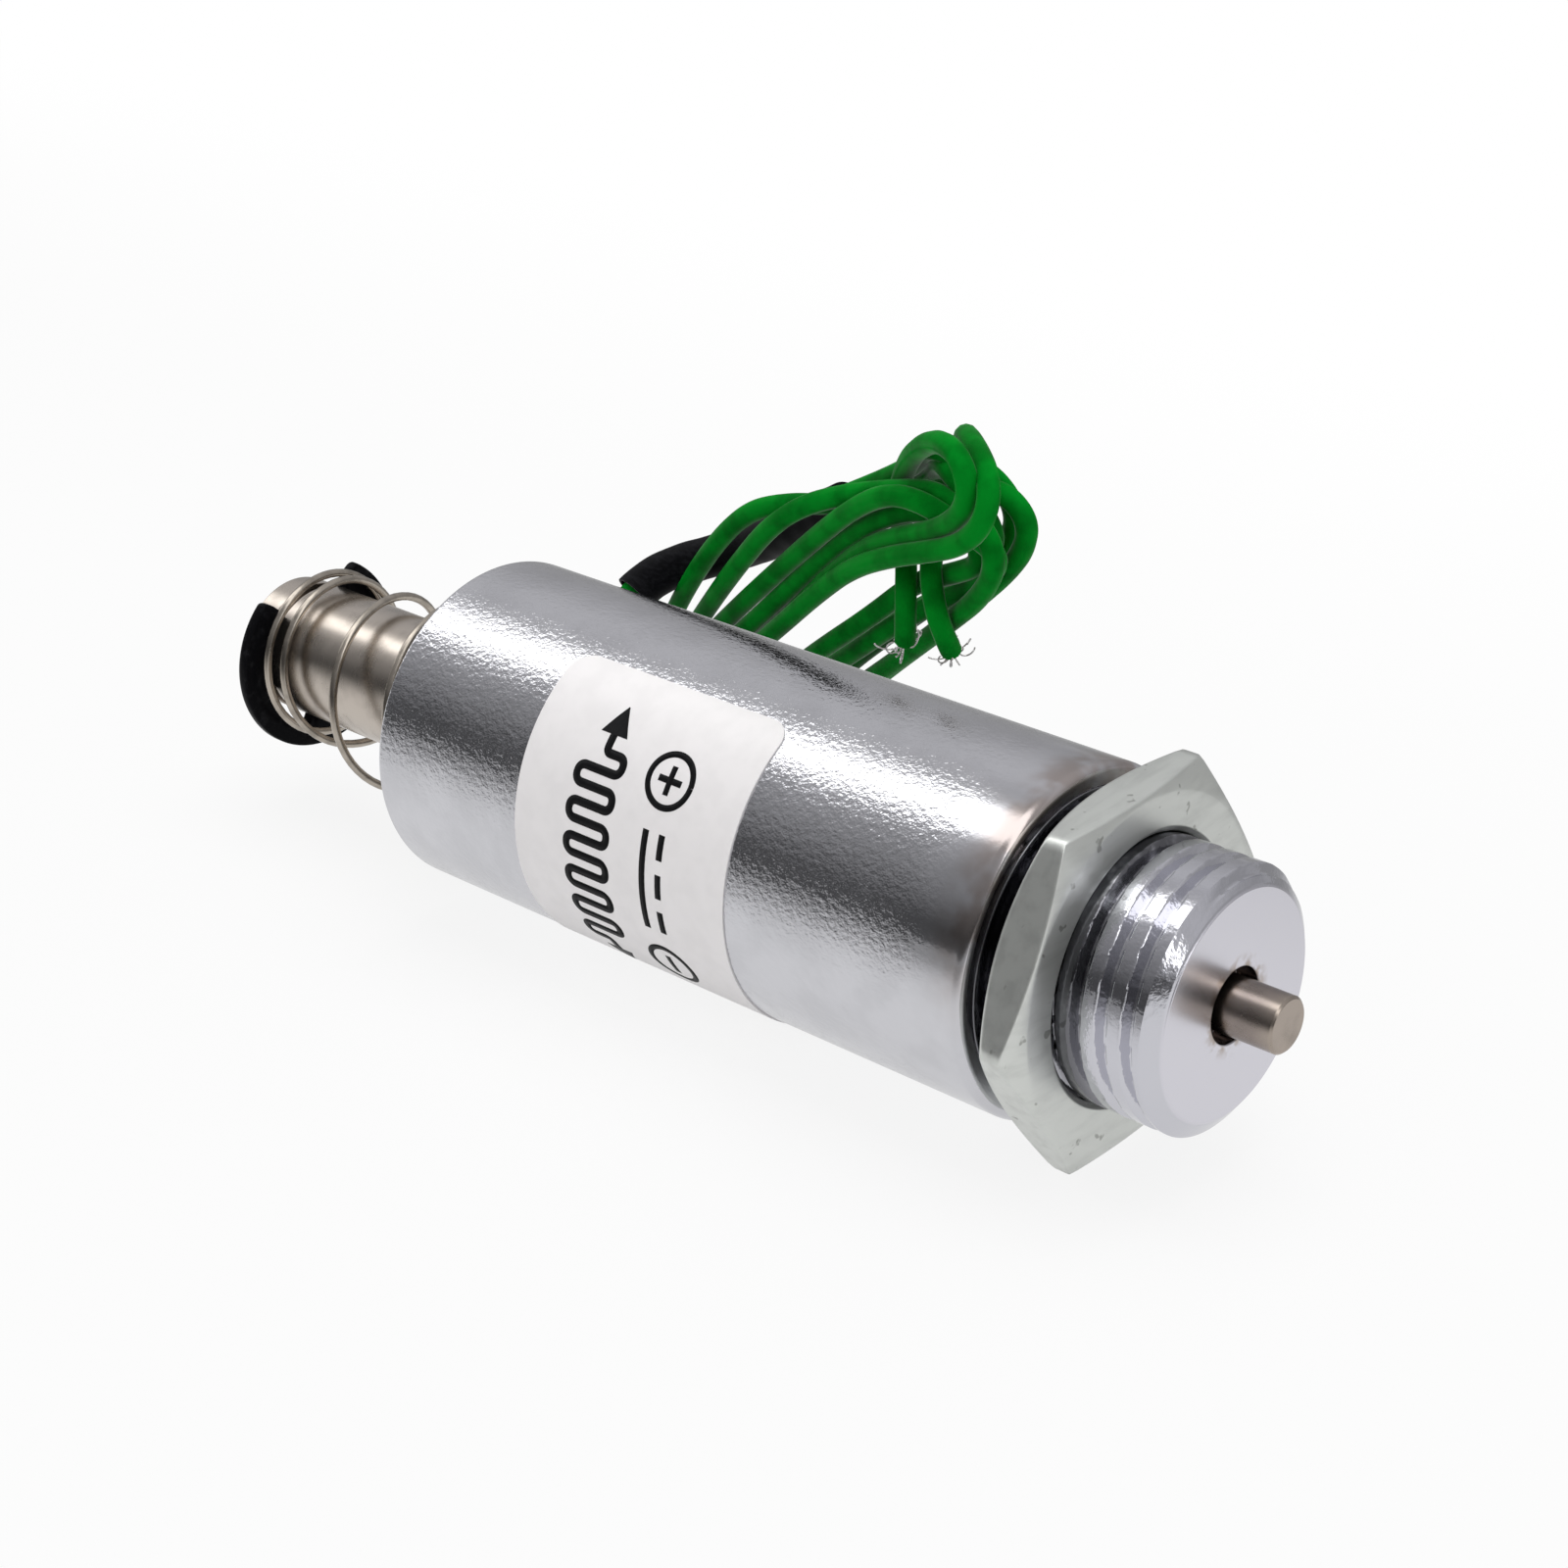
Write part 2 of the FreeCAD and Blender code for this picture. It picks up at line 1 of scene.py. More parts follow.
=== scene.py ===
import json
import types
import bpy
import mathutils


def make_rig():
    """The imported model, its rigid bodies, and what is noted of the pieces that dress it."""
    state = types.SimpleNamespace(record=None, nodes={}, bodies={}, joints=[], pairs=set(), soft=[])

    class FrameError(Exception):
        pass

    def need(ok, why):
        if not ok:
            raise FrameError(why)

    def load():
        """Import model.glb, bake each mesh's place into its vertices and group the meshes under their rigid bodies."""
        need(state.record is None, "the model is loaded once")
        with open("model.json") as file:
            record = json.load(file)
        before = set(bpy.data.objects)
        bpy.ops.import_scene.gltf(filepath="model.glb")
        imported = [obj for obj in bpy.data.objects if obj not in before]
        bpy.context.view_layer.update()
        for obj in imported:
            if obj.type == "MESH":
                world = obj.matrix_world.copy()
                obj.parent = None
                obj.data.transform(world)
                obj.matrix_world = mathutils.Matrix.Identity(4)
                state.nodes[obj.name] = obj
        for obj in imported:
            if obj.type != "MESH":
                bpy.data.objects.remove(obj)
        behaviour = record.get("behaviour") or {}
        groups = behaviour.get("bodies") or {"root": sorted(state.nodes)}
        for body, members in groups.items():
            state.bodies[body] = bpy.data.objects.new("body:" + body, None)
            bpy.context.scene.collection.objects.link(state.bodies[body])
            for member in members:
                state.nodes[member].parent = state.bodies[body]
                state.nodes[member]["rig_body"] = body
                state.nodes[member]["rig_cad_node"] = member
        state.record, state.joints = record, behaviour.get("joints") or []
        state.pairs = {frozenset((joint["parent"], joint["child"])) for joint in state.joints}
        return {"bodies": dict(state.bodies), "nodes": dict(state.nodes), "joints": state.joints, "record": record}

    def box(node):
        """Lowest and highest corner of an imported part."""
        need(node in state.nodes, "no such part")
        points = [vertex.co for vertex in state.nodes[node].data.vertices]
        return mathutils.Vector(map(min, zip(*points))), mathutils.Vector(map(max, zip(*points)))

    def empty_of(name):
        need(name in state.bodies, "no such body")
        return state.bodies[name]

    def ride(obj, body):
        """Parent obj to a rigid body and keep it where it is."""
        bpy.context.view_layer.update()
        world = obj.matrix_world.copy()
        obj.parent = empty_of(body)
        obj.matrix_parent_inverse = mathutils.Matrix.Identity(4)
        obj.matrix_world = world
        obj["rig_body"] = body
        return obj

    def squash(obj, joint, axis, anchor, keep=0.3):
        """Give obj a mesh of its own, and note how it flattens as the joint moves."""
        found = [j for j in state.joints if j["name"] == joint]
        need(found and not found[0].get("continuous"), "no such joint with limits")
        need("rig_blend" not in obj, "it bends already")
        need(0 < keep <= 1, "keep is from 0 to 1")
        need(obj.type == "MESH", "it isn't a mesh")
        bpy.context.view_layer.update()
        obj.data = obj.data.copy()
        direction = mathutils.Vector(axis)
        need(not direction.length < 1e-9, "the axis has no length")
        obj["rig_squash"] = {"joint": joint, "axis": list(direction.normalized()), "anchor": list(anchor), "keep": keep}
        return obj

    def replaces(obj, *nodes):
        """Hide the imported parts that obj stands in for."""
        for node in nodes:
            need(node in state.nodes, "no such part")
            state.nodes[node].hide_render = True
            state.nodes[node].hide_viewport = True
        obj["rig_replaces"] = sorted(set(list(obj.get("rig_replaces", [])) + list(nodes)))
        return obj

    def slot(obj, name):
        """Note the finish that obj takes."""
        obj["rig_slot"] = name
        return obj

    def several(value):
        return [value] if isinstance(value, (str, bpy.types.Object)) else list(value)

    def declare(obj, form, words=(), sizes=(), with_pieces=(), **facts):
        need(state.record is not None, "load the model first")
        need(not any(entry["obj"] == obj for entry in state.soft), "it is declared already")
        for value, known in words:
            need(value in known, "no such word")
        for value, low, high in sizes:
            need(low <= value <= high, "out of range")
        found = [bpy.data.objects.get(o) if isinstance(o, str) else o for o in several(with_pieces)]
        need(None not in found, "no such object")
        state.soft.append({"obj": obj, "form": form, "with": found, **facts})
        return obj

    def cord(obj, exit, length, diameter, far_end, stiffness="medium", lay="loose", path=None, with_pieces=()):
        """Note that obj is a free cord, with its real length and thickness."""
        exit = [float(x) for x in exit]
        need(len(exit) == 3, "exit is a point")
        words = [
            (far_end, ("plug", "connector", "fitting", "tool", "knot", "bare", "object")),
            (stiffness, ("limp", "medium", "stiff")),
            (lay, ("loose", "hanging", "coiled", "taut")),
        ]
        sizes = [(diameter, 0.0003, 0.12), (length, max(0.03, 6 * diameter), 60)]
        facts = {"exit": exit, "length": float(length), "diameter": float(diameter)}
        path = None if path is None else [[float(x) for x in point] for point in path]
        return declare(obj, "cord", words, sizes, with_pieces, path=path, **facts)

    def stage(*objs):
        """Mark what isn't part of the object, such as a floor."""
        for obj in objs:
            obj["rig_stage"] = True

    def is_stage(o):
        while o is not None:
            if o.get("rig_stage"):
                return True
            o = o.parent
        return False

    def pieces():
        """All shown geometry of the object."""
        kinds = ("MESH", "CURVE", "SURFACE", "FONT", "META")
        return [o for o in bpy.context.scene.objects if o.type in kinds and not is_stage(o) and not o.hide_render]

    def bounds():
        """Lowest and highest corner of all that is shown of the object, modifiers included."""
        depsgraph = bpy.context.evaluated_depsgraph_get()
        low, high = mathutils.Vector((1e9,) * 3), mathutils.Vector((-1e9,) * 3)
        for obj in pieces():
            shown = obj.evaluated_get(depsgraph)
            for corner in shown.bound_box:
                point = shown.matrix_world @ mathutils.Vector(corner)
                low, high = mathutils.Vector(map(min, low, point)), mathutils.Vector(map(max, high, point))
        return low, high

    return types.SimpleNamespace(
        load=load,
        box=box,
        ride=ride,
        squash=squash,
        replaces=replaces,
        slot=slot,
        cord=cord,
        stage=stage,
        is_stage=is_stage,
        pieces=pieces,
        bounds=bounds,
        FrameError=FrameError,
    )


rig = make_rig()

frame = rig.load()

import json
import math

import bmesh
import bpy
import numpy as np
from mathutils import Vector

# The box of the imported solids, kept before any piece of the scene is added
CAD_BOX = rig.bounds()

bl_info = {
    "name": "Push Pull Solenoid",
    "version": (1, 0, 0),
    "blender": (4, 5, 0),
    "location": "View3D > Sidebar > Solenoid",
    "description": "Dresses the packed solenoid with turned metal, a thread, a label, leads and a studio",
    "category": "Object",
}

MM = 0.001
# The case's outside and the label's, in millimetres, as the leads' route and the print were laid out on them
CASE_RADIUS = 9.5
LABEL_RADIUS = 9.58
WHITE = (1.0, 1.0, 1.0, 1.0)
# Where the photograph was taken from, in millimetres from the axis at the case's front face
CAMERA_PLACE = (78.6235, -109.3986, 70.8849)

# The pieces are worked out in millimetres on the solenoid's axis: x forward from the case's front face,
# and an angle that is 0 towards the viewer's side, -Y, and 90 degrees at the top
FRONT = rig.box("case_tube")[1].x / MM
AXIS_HEIGHT = sum(corner.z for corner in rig.box("push_pin")) / 2 / MM


def row(points):
    """Points on the solenoid's axis, in millimetres, moved to the row frame, in metres."""
    return (np.asarray(points, float) + [FRONT, 0.0, AXIS_HEIGHT]) * MM


def round_axis(x, radius, angle):
    """Points by x, radius and angle in degrees round the axis: y is -radius cos and z is radius sin."""
    x, radius, angle = np.broadcast_arrays(x, radius, np.radians(angle))
    return np.stack([x, -radius * np.cos(angle), radius * np.sin(angle)], axis=-1)


def surface(name, grid, finish, body, slot, closed=(False, True), sharp=35.0, replaces=()):
    """A piece from a grid of points on the axis, rows by columns, or from several such grids: each cell is a
    quad, and a closed direction joins its last line to its first. Double points merge; faces turn outwards."""
    index = np.arange(grid.size // 3).reshape(-1, *grid.shape[-3:-1])
    down = np.concatenate([index, index[:, :1]], axis=1) if closed[0] else index
    across = np.concatenate([down, down[:, :, :1]], axis=2) if closed[1] else down
    here, below = across[:, :-1], across[:, 1:]
    quads = np.stack([here[..., :-1], below[..., :-1], below[..., 1:], here[..., 1:]], axis=-1).reshape(-1, 4)
    mesh = bpy.data.meshes.new(name)
    mesh.from_pydata(row(grid.reshape(-1, 3)), [], quads)
    shell = bmesh.new()
    shell.from_mesh(mesh)
    bmesh.ops.remove_doubles(shell, verts=shell.verts, dist=2e-7)
    bmesh.ops.dissolve_degenerate(shell, edges=shell.edges, dist=1e-8)
    if shell.calc_volume(signed=True) < 0:
        bmesh.ops.reverse_faces(shell, faces=shell.faces)
    shell.to_mesh(mesh)
    shell.free()
    mesh.shade_smooth()
    if sharp:
        mesh.set_sharp_from_angle(angle=math.radians(sharp))
    return settle(name, mesh, finish, body, slot, replaces)


def place_object(name, data):
    thing = bpy.data.objects.new(name, data)
    bpy.context.scene.collection.objects.link(thing)
    return thing


def settle(name, data, finish, body, slot, replaces=()):
    """Puts mesh or curve data in the scene as a piece that rides on a body, in its finish."""
    piece = place_object(name, data)
    data.materials.append(finish)
    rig.ride(piece, body)
    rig.slot(piece, slot)
    if replaces:
        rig.replaces(piece, *replaces)
    return piece


def rounded(corners, steps=6, hold=0.03):
    """A profile from (x, radius, round) corners: each corner with a round becomes an arc that is tangent to
    both runs, with one more point a little before and after it, so that the runs stay straight when shaded."""
    places = np.array([corner[:2] for corner in corners], float)
    points = [places[:1]]
    for last, corner, following, (*_, size) in zip(places, places[1:], places[2:], corners[1:]):
        runs = np.array([last, following]) - corner
        lengths = np.linalg.norm(runs, axis=1)
        ways = runs / lengths[:, None]
        half = math.acos(max(-1.0, min(1.0, float(ways[0] @ ways[1])))) / 2
        reach = min(size / math.tan(half), *(0.49 * lengths))
        size = reach * math.tan(half)
        middle = corner + unit(ways[0] + ways[1]) * size / math.sin(half)
        start, end = corner + ways * reach - middle
        side = np.sign(start[0] * end[1] - start[1] * end[0])
        swing = np.linspace(0, (math.pi - 2 * half) * side, steps + 1)[:, None]
        arc = middle + start * np.cos(swing) + start[::-1] * (-1, 1) * np.sin(swing)
        held = corner + ways * np.minimum(reach + hold, 0.495 * lengths)[:, None]
        points += [held[:1], arc, held[1:]]
    points.append(places[-1:])
    return np.vstack(points)


def turned(name, profile, finish, body, slot, closed=False, columns=160, **rest):
    """A turned piece: every point of the (x, radius) profile is carried round the axis."""
    angle = np.arange(columns) * 360.0 / columns
    grid = round_axis(profile[:, :1], profile[:, 1:2], angle[None])
    return surface(name, grid, finish, body, slot, closed=(closed, True), **rest)


def unit(vectors):
    return vectors / np.linalg.norm(vectors, axis=-1, keepdims=True)


def evenly(path, start, count):
    """Even distances along a path of straight runs, from the start to its end, and the points there."""
    gone = np.concatenate([[0], np.cumsum(np.linalg.norm(np.diff(path, axis=0), axis=1))])
    even = np.linspace(start, gone[-1], count)
    return even, np.stack([np.interp(even, gone, side) for side in path.T], axis=-1)


def tube(path, radius, reference, sides=14, capped=True):
    """A grid round a path: at each point a circle across the path's direction, measured from the reference
    direction made square to it; a cap is the circle shrunk to the end point."""
    along = unit(np.gradient(path, axis=0))
    first = unit(reference - along * np.sum(reference * along, axis=-1, keepdims=True))
    second = np.cross(along, first)
    turn = (np.arange(sides) * 2 * math.pi / sides)[:, None]
    ring = first[:, None] * np.cos(turn) + second[:, None] * np.sin(turn)
    grid = path[:, None] + ring * np.reshape(radius, (-1, 1, 1))
    if capped:
        start, end = (np.broadcast_to(path[place], (1, sides, 3)) for place in (0, -1))
        grid = np.concatenate([start, grid, end])
    return grid


class Signal:
    """A number or colour on its way between nodes. Sums and products of signals add Math nodes."""

    def __init__(self, nodes, socket):
        self.nodes = nodes
        self.socket = socket

    def step(self, low, high):
        """0 below low and 1 above high, with a smooth rise between; low may be the larger."""
        if low > high:
            return 1.0 - self.step(high, low)
        inputs = {"Value": self, "From Min": low, "From Max": high}
        return self.nodes.add("MapRange", inputs, {"interpolation_type": "SMOOTHSTEP"})


# What a signal does with the signs +, -, *, / and **, and the reflected forms where it stands second
for sign, operation in (
    ("add", "ADD"), ("sub", "SUBTRACT"), ("mul", "MULTIPLY"), ("truediv", "DIVIDE"), ("pow", "POWER"),
):
    setattr(Signal, f"__{sign}__", lambda self, other, name=operation: self.nodes.maths(name, self, other))
    setattr(Signal, f"__r{sign}__", lambda self, other, name=operation: self.nodes.maths(name, other, self))


class Nodes:
    """The node tree of a new material or world, to add nodes to."""

    def __init__(self, owner):
        owner.use_nodes = True
        self.tree = owner.node_tree

    def fill(self, node, inputs):
        """Joins signals to a node's sockets and writes plain values on them."""
        for name, value in inputs.items():
            if isinstance(value, Signal):
                self.tree.links.new(value.socket, node.inputs[name])
            else:
                node.inputs[name].default_value = value

    def add(self, kind, inputs=None, settings=None, output=0):
        """Adds any shader node, with its sockets' values or signals and its settings, and gives one output."""
        node = self.tree.nodes.new("ShaderNode" + kind)
        for name, value in (settings or {}).items():
            if name == "stops":
                self.set_stops(node.color_ramp.elements, value)
            else:
                setattr(node, name, value)
        self.fill(node, inputs or {})
        return Signal(self, node.outputs[output]) if node.outputs else None

    def set_stops(self, elements, stops):
        """Writes a ramp's stops, each a place from 0 to 1 and a colour."""
        while len(elements) < len(stops):
            elements.new(0.5)
        for element, (place, tone) in zip(elements, stops):
            element.position = place
            element.color = tone

    def maths(self, operation, first, second):
        return self.add("Math", {0: first, 1: second}, {"operation": operation})

    def place(self, stretch=(1.0, 1.0, 1.0)):
        """The place on the piece in millimetres from the axis at the case's front face, stretched each way."""
        coordinates = self.add("TexCoord", output=3)
        middle = (-FRONT * MM, 0.0, -AXIS_HEIGHT * MM)
        centred = self.add("Mapping", {"Vector": coordinates, "Location": middle})
        return self.add("Mapping", {"Vector": centred, "Scale": [side / MM for side in stretch]})

    def noise(self, per_mm, stretch=(1.0, 1.0, 1.0), detail=2.0, rough=0.5):
        """Cloudy noise with so many patches to the millimetre, 0 to 1 about a middle of 0.5."""
        inputs = {"Vector": self.place(stretch), "Scale": per_mm, "Detail": detail, "Roughness": rough}
        return self.add("TexNoise", inputs)

    def parts(self):
        """x, distance from the axis and height, in millimetres."""
        split = self.add("SeparateXYZ", {"Vector": self.place()})
        x, y, z = (Signal(self, output) for output in split.socket.node.outputs)
        return x, (y * y + z * z) ** 0.5, z

    def blend(self, first, second, share):
        """The first colour where the share is 0 and the second where it is 1; each is a signal or plain."""
        first, second = (tone if isinstance(tone, Signal) else colour(tone) for tone in (first, second))
        return self.add("Mix", {0: share, 6: first, 7: second}, {"data_type": "RGBA"}, 2)

    def dull(self, tone, level, share):
        """A plain colour that falls to a level of itself where the share is 1."""
        return self.blend(tone, np.array(tone) * level, share)

    def bump(self, height, micron, before=None):
        """A surface relief: the height signal times so many thousandths of a millimetre."""
        inputs = {"Height": height, "Strength": 1.0, "Distance": micron * 1e-6}
        if before is not None:
            inputs["Normal"] = before
        return self.add("Bump", inputs)

    def rays(self):
        """Whether a ray comes from the camera, from a shine, and through something clear."""
        path = self.add("LightPath").socket.node
        return [Signal(self, path.outputs[f"Is {kind} Ray"]) for kind in ("Camera", "Glossy", "Transmission")]

    def glow(self, kind, tone, strength=1.0):
        return self.add(kind, {"Color": tone, "Strength": strength})

    def mix(self, share, first, second):
        """The first shader where the share is 0 and the second where it is 1."""
        return self.add("MixShader", {0: share, 1: first, 2: second})


def finish(name):
    """A new material's nodes, and the function that dresses its shader: a colour, a roughness, a relief, and
    plain values for its other sockets."""
    material = bpy.data.materials.new(name)
    nodes = Nodes(material)

    def dress(tone, rough, relief, **plain):
        values = {label.replace("_", " "): value for label, value in plain.items()}
        values.update({"Base Color": tone, "Roughness": rough, "Normal": relief})
        nodes.fill(nodes.tree.nodes["Principled BSDF"], values)
        return material

    return nodes, dress


def colour(values):
    return (*values, 1.0)


def case_zinc(settings):
    """Bright zinc plate: pebbled except near the polished front edge, cloudy, with fine lines round it."""
    nodes, dress = finish("case_zinc")
    x, _, z = nodes.parts()
    behind = x.step(-1.6, -5.0)
    cloud = nodes.noise(0.35, detail=3.0)
    pebble = nodes.noise(3.0, rough=0.6)
    speck = nodes.noise(9.0, detail=1.0)
    lines = nodes.noise(6.0, (1.0, 0.03, 0.03))
    tone = nodes.blend(np.array(settings.colour) * 0.93, settings.colour, cloud.step(0.35, 0.65))
    edge = x.step(-2.8, -0.7) * z.step(-2.0, 5.0) * nodes.noise(0.5).step(0.30, 0.60)
    tone = nodes.blend(tone, (0.34, 0.25, 0.20), edge * 0.6)
    gloss = 0.11 + cloud * 0.05 + lines.step(0.55, 0.75) * 0.03
    relief = nodes.bump((pebble + speck * 0.2) * (behind * 0.94 + 0.06), settings.pebble_height / 1e-6)
    return dress(tone, gloss, nodes.bump(lines, 0.12, relief), Metallic=1.0)


def nose_steel(settings):
    """Bright turned steel: fine rings on the end face, sparkle on the thread, a stain round the hole, painted shade
    inside the hole, and painted shade on the thread just ahead of the nut and between the case and the nut."""
    nodes, dress = finish("nose_steel")
    x, radius, _ = nodes.parts()
    end = settings.length / MM
    cloud = nodes.noise(0.7, detail=3.0)
    rings = nodes.add("TexNoise", {"W": radius, "Scale": 9.0, "Detail": 2.0}, {"noise_dimensions": "1D"})
    dimple = nodes.noise(2.6, rough=0.6)
    stain = nodes.noise(1.4, detail=3.0).step(0.42, 0.62)
    face = x.step(end - 0.12, end - 0.04)
    tone = nodes.blend(settings.colour, settings.face_colour, face)
    for dark, share in (
        ((0.30, 0.21, 0.12), stain * radius.step(2.9, 1.9) * face * 0.7),
        # painted shade inside the hole round the pin
        ((0.10, 0.07, 0.05), radius.step(2.15, 1.9) * x.step(2.0, 3.0)),
        # painted shade on the flange and the first thread, in the gap between the case's front and the nut
        ((0.10, 0.10, 0.11), x.step(1.7, 1.3) * x.step(-0.4, -0.1) * 0.75),
        # painted shade on the thread just ahead of the nut, in cloudy patches
        ((0.09, 0.09, 0.10), x.step(5.6, 4.6) * x.step(3.0, 3.6) * cloud.step(0.15, 0.45) * 0.85),
    ):
        tone = nodes.blend(tone, dark, share)
    relief = nodes.bump(rings * face, 0.6, nodes.bump(dimple * (1.0 - face), 16.0))
    return dress(tone, 0.08 + face * 0.16 + cloud * 0.04, relief, Metallic=1.0)


def nut_zinc(settings):
    """Satin zinc plate on a pressed nut: soft waves, small pits and smears."""
    nodes, dress = finish("nut_zinc")
    wave = nodes.noise(0.45)
    grain = nodes.noise(4.5, detail=3.0, rough=0.6)
    pit = nodes.noise(1.1).step(0.68, 0.74)
    smear = nodes.noise(1.2, (1.0, 0.25, 1.0), detail=4.0)
    tone = nodes.dull(settings.colour, 0.86, smear.step(0.40, 0.75))
    tone = nodes.blend(tone, (0.22, 0.22, 0.20), pit * 0.6)
    relief = nodes.bump(grain - pit * 1.5, 3.0, nodes.bump(wave, 26.0))
    return dress(tone, 0.27 + grain * 0.16, relief, Metallic=0.82)


def worn_nickel(name, tint, along):
    """Nickel plate, warm, with fine lines round the piece or along it and dull patches."""
    nodes, dress = finish(name)
    lines = nodes.noise(5.0, (0.04, 1.0, 1.0) if along else (1.0, 0.05, 0.05), detail=3.0)
    patch = nodes.noise(0.6, detail=3.0)
    tone = nodes.dull(tint, 0.72, patch.step(0.42, 0.75) * 0.8)
    return dress(tone, 0.17 + patch * 0.12 + lines * 0.06, nodes.bump(lines, 1.1), Metallic=1.0)


def blackened(settings):
    """Black oxide on the stamped clip, satin, with rubbed edges."""
    nodes, dress = finish("clip_black")
    rub = nodes.noise(1.8, detail=3.0)
    tone = nodes.blend(settings.colour, (0.016, 0.016, 0.018), rub.step(0.5, 0.8))
    return dress(tone, 0.22 + rub * 0.14, nodes.bump(nodes.noise(7.0), 1.2), Specular_IOR_Level=0.03)


def spring_steel(settings):
    """Drawn spring wire with fine die lines and slightly dull patches."""
    nodes, dress = finish("spring_steel")
    lines = nodes.noise(9.0, (1.0, 0.2, 0.2))
    tone = nodes.dull(settings.colour, 0.7, nodes.noise(0.9).step(0.4, 0.7))
    return dress(tone, 0.16 + lines * 0.16, nodes.bump(lines, 1.0), Metallic=1.0)


def label_paper(settings):
    """White satin film, faintly mottled."""
    nodes, dress = finish("label_film")
    mottle = nodes.noise(0.8, detail=3.0)
    fibre = nodes.noise(7.0, detail=3.0)
    tone = nodes.dull(settings.colour, 0.96, mottle.step(0.35, 0.7))
    return dress(tone, 0.36 + mottle * 0.1, nodes.bump(fibre + mottle * 4.0, 1.1), Coat_Weight=0.15)


def grained(name, first, second, noise, edges, rough, micron, **plain):
    """A finish whose two tones, roughness and relief follow one noise: the tones change between the two edges,
    or all the way where there are none."""
    nodes, dress = finish(name)
    grain = nodes.noise(*noise)
    tone = nodes.blend(first, second, grain.step(*edges) if edges else grain)
    return dress(tone, rough[0] + grain * rough[1], nodes.bump(grain, micron), **plain)


def green_insulation(settings):
    """Green lead insulation: a soft shine, a little darker in patches, with fine drag marks."""
    nodes, dress = finish("green_insulation")
    patch = nodes.noise(0.5, detail=3.0)
    drag = nodes.noise(4.0, (0.6, 1.0, 0.6))
    tone = nodes.dull(settings.colour, 0.6, patch.step(0.35, 0.7))
    return dress(tone, 0.26 + drag * 0.12, nodes.bump(drag + patch, 2.0), IOR=1.045)


def size(name, description, millimetres):
    """A length that the user can change."""
    return bpy.props.FloatProperty(
        name=name, description=description, default=millimetres * MM, unit="LENGTH", precision=5
    )


def bearing(name, description, degrees):
    """An angle that the user can change."""
    angle = math.radians(degrees)
    return bpy.props.FloatProperty(name=name, description=description, default=angle, subtype="ANGLE")


def paint(name, description, rgb):
    """A colour that the user can change."""
    return bpy.props.FloatVectorProperty(name=name, description=description, default=rgb, subtype="COLOR")


class CaseSettings(bpy.types.PropertyGroup):
    diameter: size("Diameter", "Outer diameter of the case", 19.0)
    length: size("Length", "Length of the case", 42.0)
    wall: size("Wall", "Thickness of the case's wall", 1.1)
    front_round: size("Front Round", "Round of the rolled front edge", 1.0)
    rear_round: size("Rear Round", "Round of the rear edge", 0.3)
    pebble_height: size("Pebble Height", "Height of the plate's pebbled relief", 0.044)
    colour: paint("Colour", "Colour of the zinc plate", (0.70, 0.70, 0.735))


class NoseSettings(bpy.types.PropertyGroup):
    diameter: size("Thread Diameter", "Diameter over the crests", 14.0)
    length: size("Length", "Length of the nose ahead of the case", 9.4)
    pitch: size("Pitch", "Distance from one turn of the thread to the next", 1.5)
    groove_width: size("Groove Width", "Width of the groove between two crests", 0.78)
    groove_depth: size("Groove Depth", "Depth of the thread", 0.55)
    colour: paint("Colour", "Colour of the bright steel", (0.66, 0.66, 0.71))
    face_colour: paint("Face Colour", "Colour of the end face", (0.74, 0.73, 0.79))


class NutSettings(bpy.types.PropertyGroup):
    across_flats: size("Across Flats", "Width across the flats", 19.0)
    corner_round: size("Corner Round", "Round of the six corners", 0.35)
    corner_angle: bearing("Corner Angle", "Where one corner stands, from the viewer's side", -65)
    colour: paint("Colour", "Colour of the satin plate", (0.74, 0.76, 0.73))


class PlungerSettings(bpy.types.PropertyGroup):
    edge_round: size("Edge Round", "Round of the plunger's edges", 0.12)
    colour: paint("Colour", "Colour of the plated plunger", (0.60, 0.54, 0.48))
    pin_colour: paint("Pin Colour", "Colour of the push pin", (0.43, 0.37, 0.32))


class ClipSettings(bpy.types.PropertyGroup):
    rim_round: size("Rim Round", "Round of the stamped edges", 0.14)
    colour: paint("Colour", "Colour of the black oxide", (0.005, 0.005, 0.006))


class SpringSettings(bpy.types.PropertyGroup):
    wire: size("Wire", "Diameter of the wire", 0.5)
    turns: bpy.props.FloatProperty(name="Turns", description="Number of turns", default=5.1, min=2.0)
    start_angle: bearing("Start Angle", "Where the wire starts at the clip", 200)
    colour: paint("Colour", "Colour of the wire", (0.50, 0.45, 0.39))


class LabelSettings(bpy.types.PropertyGroup):
    rear: size("Rear Edge", "From the case's front to the label's rear edge", 30.7)
    width: size("Width", "Width along the case", 15.3)
    corner: size("Corner", "Round of the label's corners", 1.4)
    top_angle: bearing("Top Edge", "Angle of the top edge", 65)
    bottom_angle: bearing("Bottom Edge", "Angle of the bottom edge", -104)
    colour: paint("Colour", "Colour of the film", (0.97, 0.945, 0.95))


class LeadSettings(bpy.types.PropertyGroup):
    diameter: size("Lead Diameter", "Diameter of one lead", 1.16)
    length_a: size("Length A", "Length of the first lead from the case", 358)
    length_b: size("Length B", "Length of the second lead from the case", 346)
    strands: bpy.props.IntProperty(name="Strands", description="Bare strands at each cut end", default=13, min=3)
    seed: bpy.props.IntProperty(name="Seed", description="Fixes how the bare strands curl", default=7)
    colour: paint("Colour", "Colour of the insulation", (0.0016, 0.245, 0.018))


class StageSettings(bpy.types.PropertyGroup):
    azimuth: bearing("Azimuth", "Camera's place round the object", 41.9742)
    elevation: bearing("Elevation", "Camera's height above the level", 24.8629)
    lens: bpy.props.FloatProperty(
        name="Lens", description="Focal length", default=69.56, subtype="DISTANCE_CAMERA"
    )
    lamp_power: bpy.props.FloatProperty(
        name="Lamp Power", description="Power of the lamp overhead", default=0.9, unit="POWER", precision=3
    )


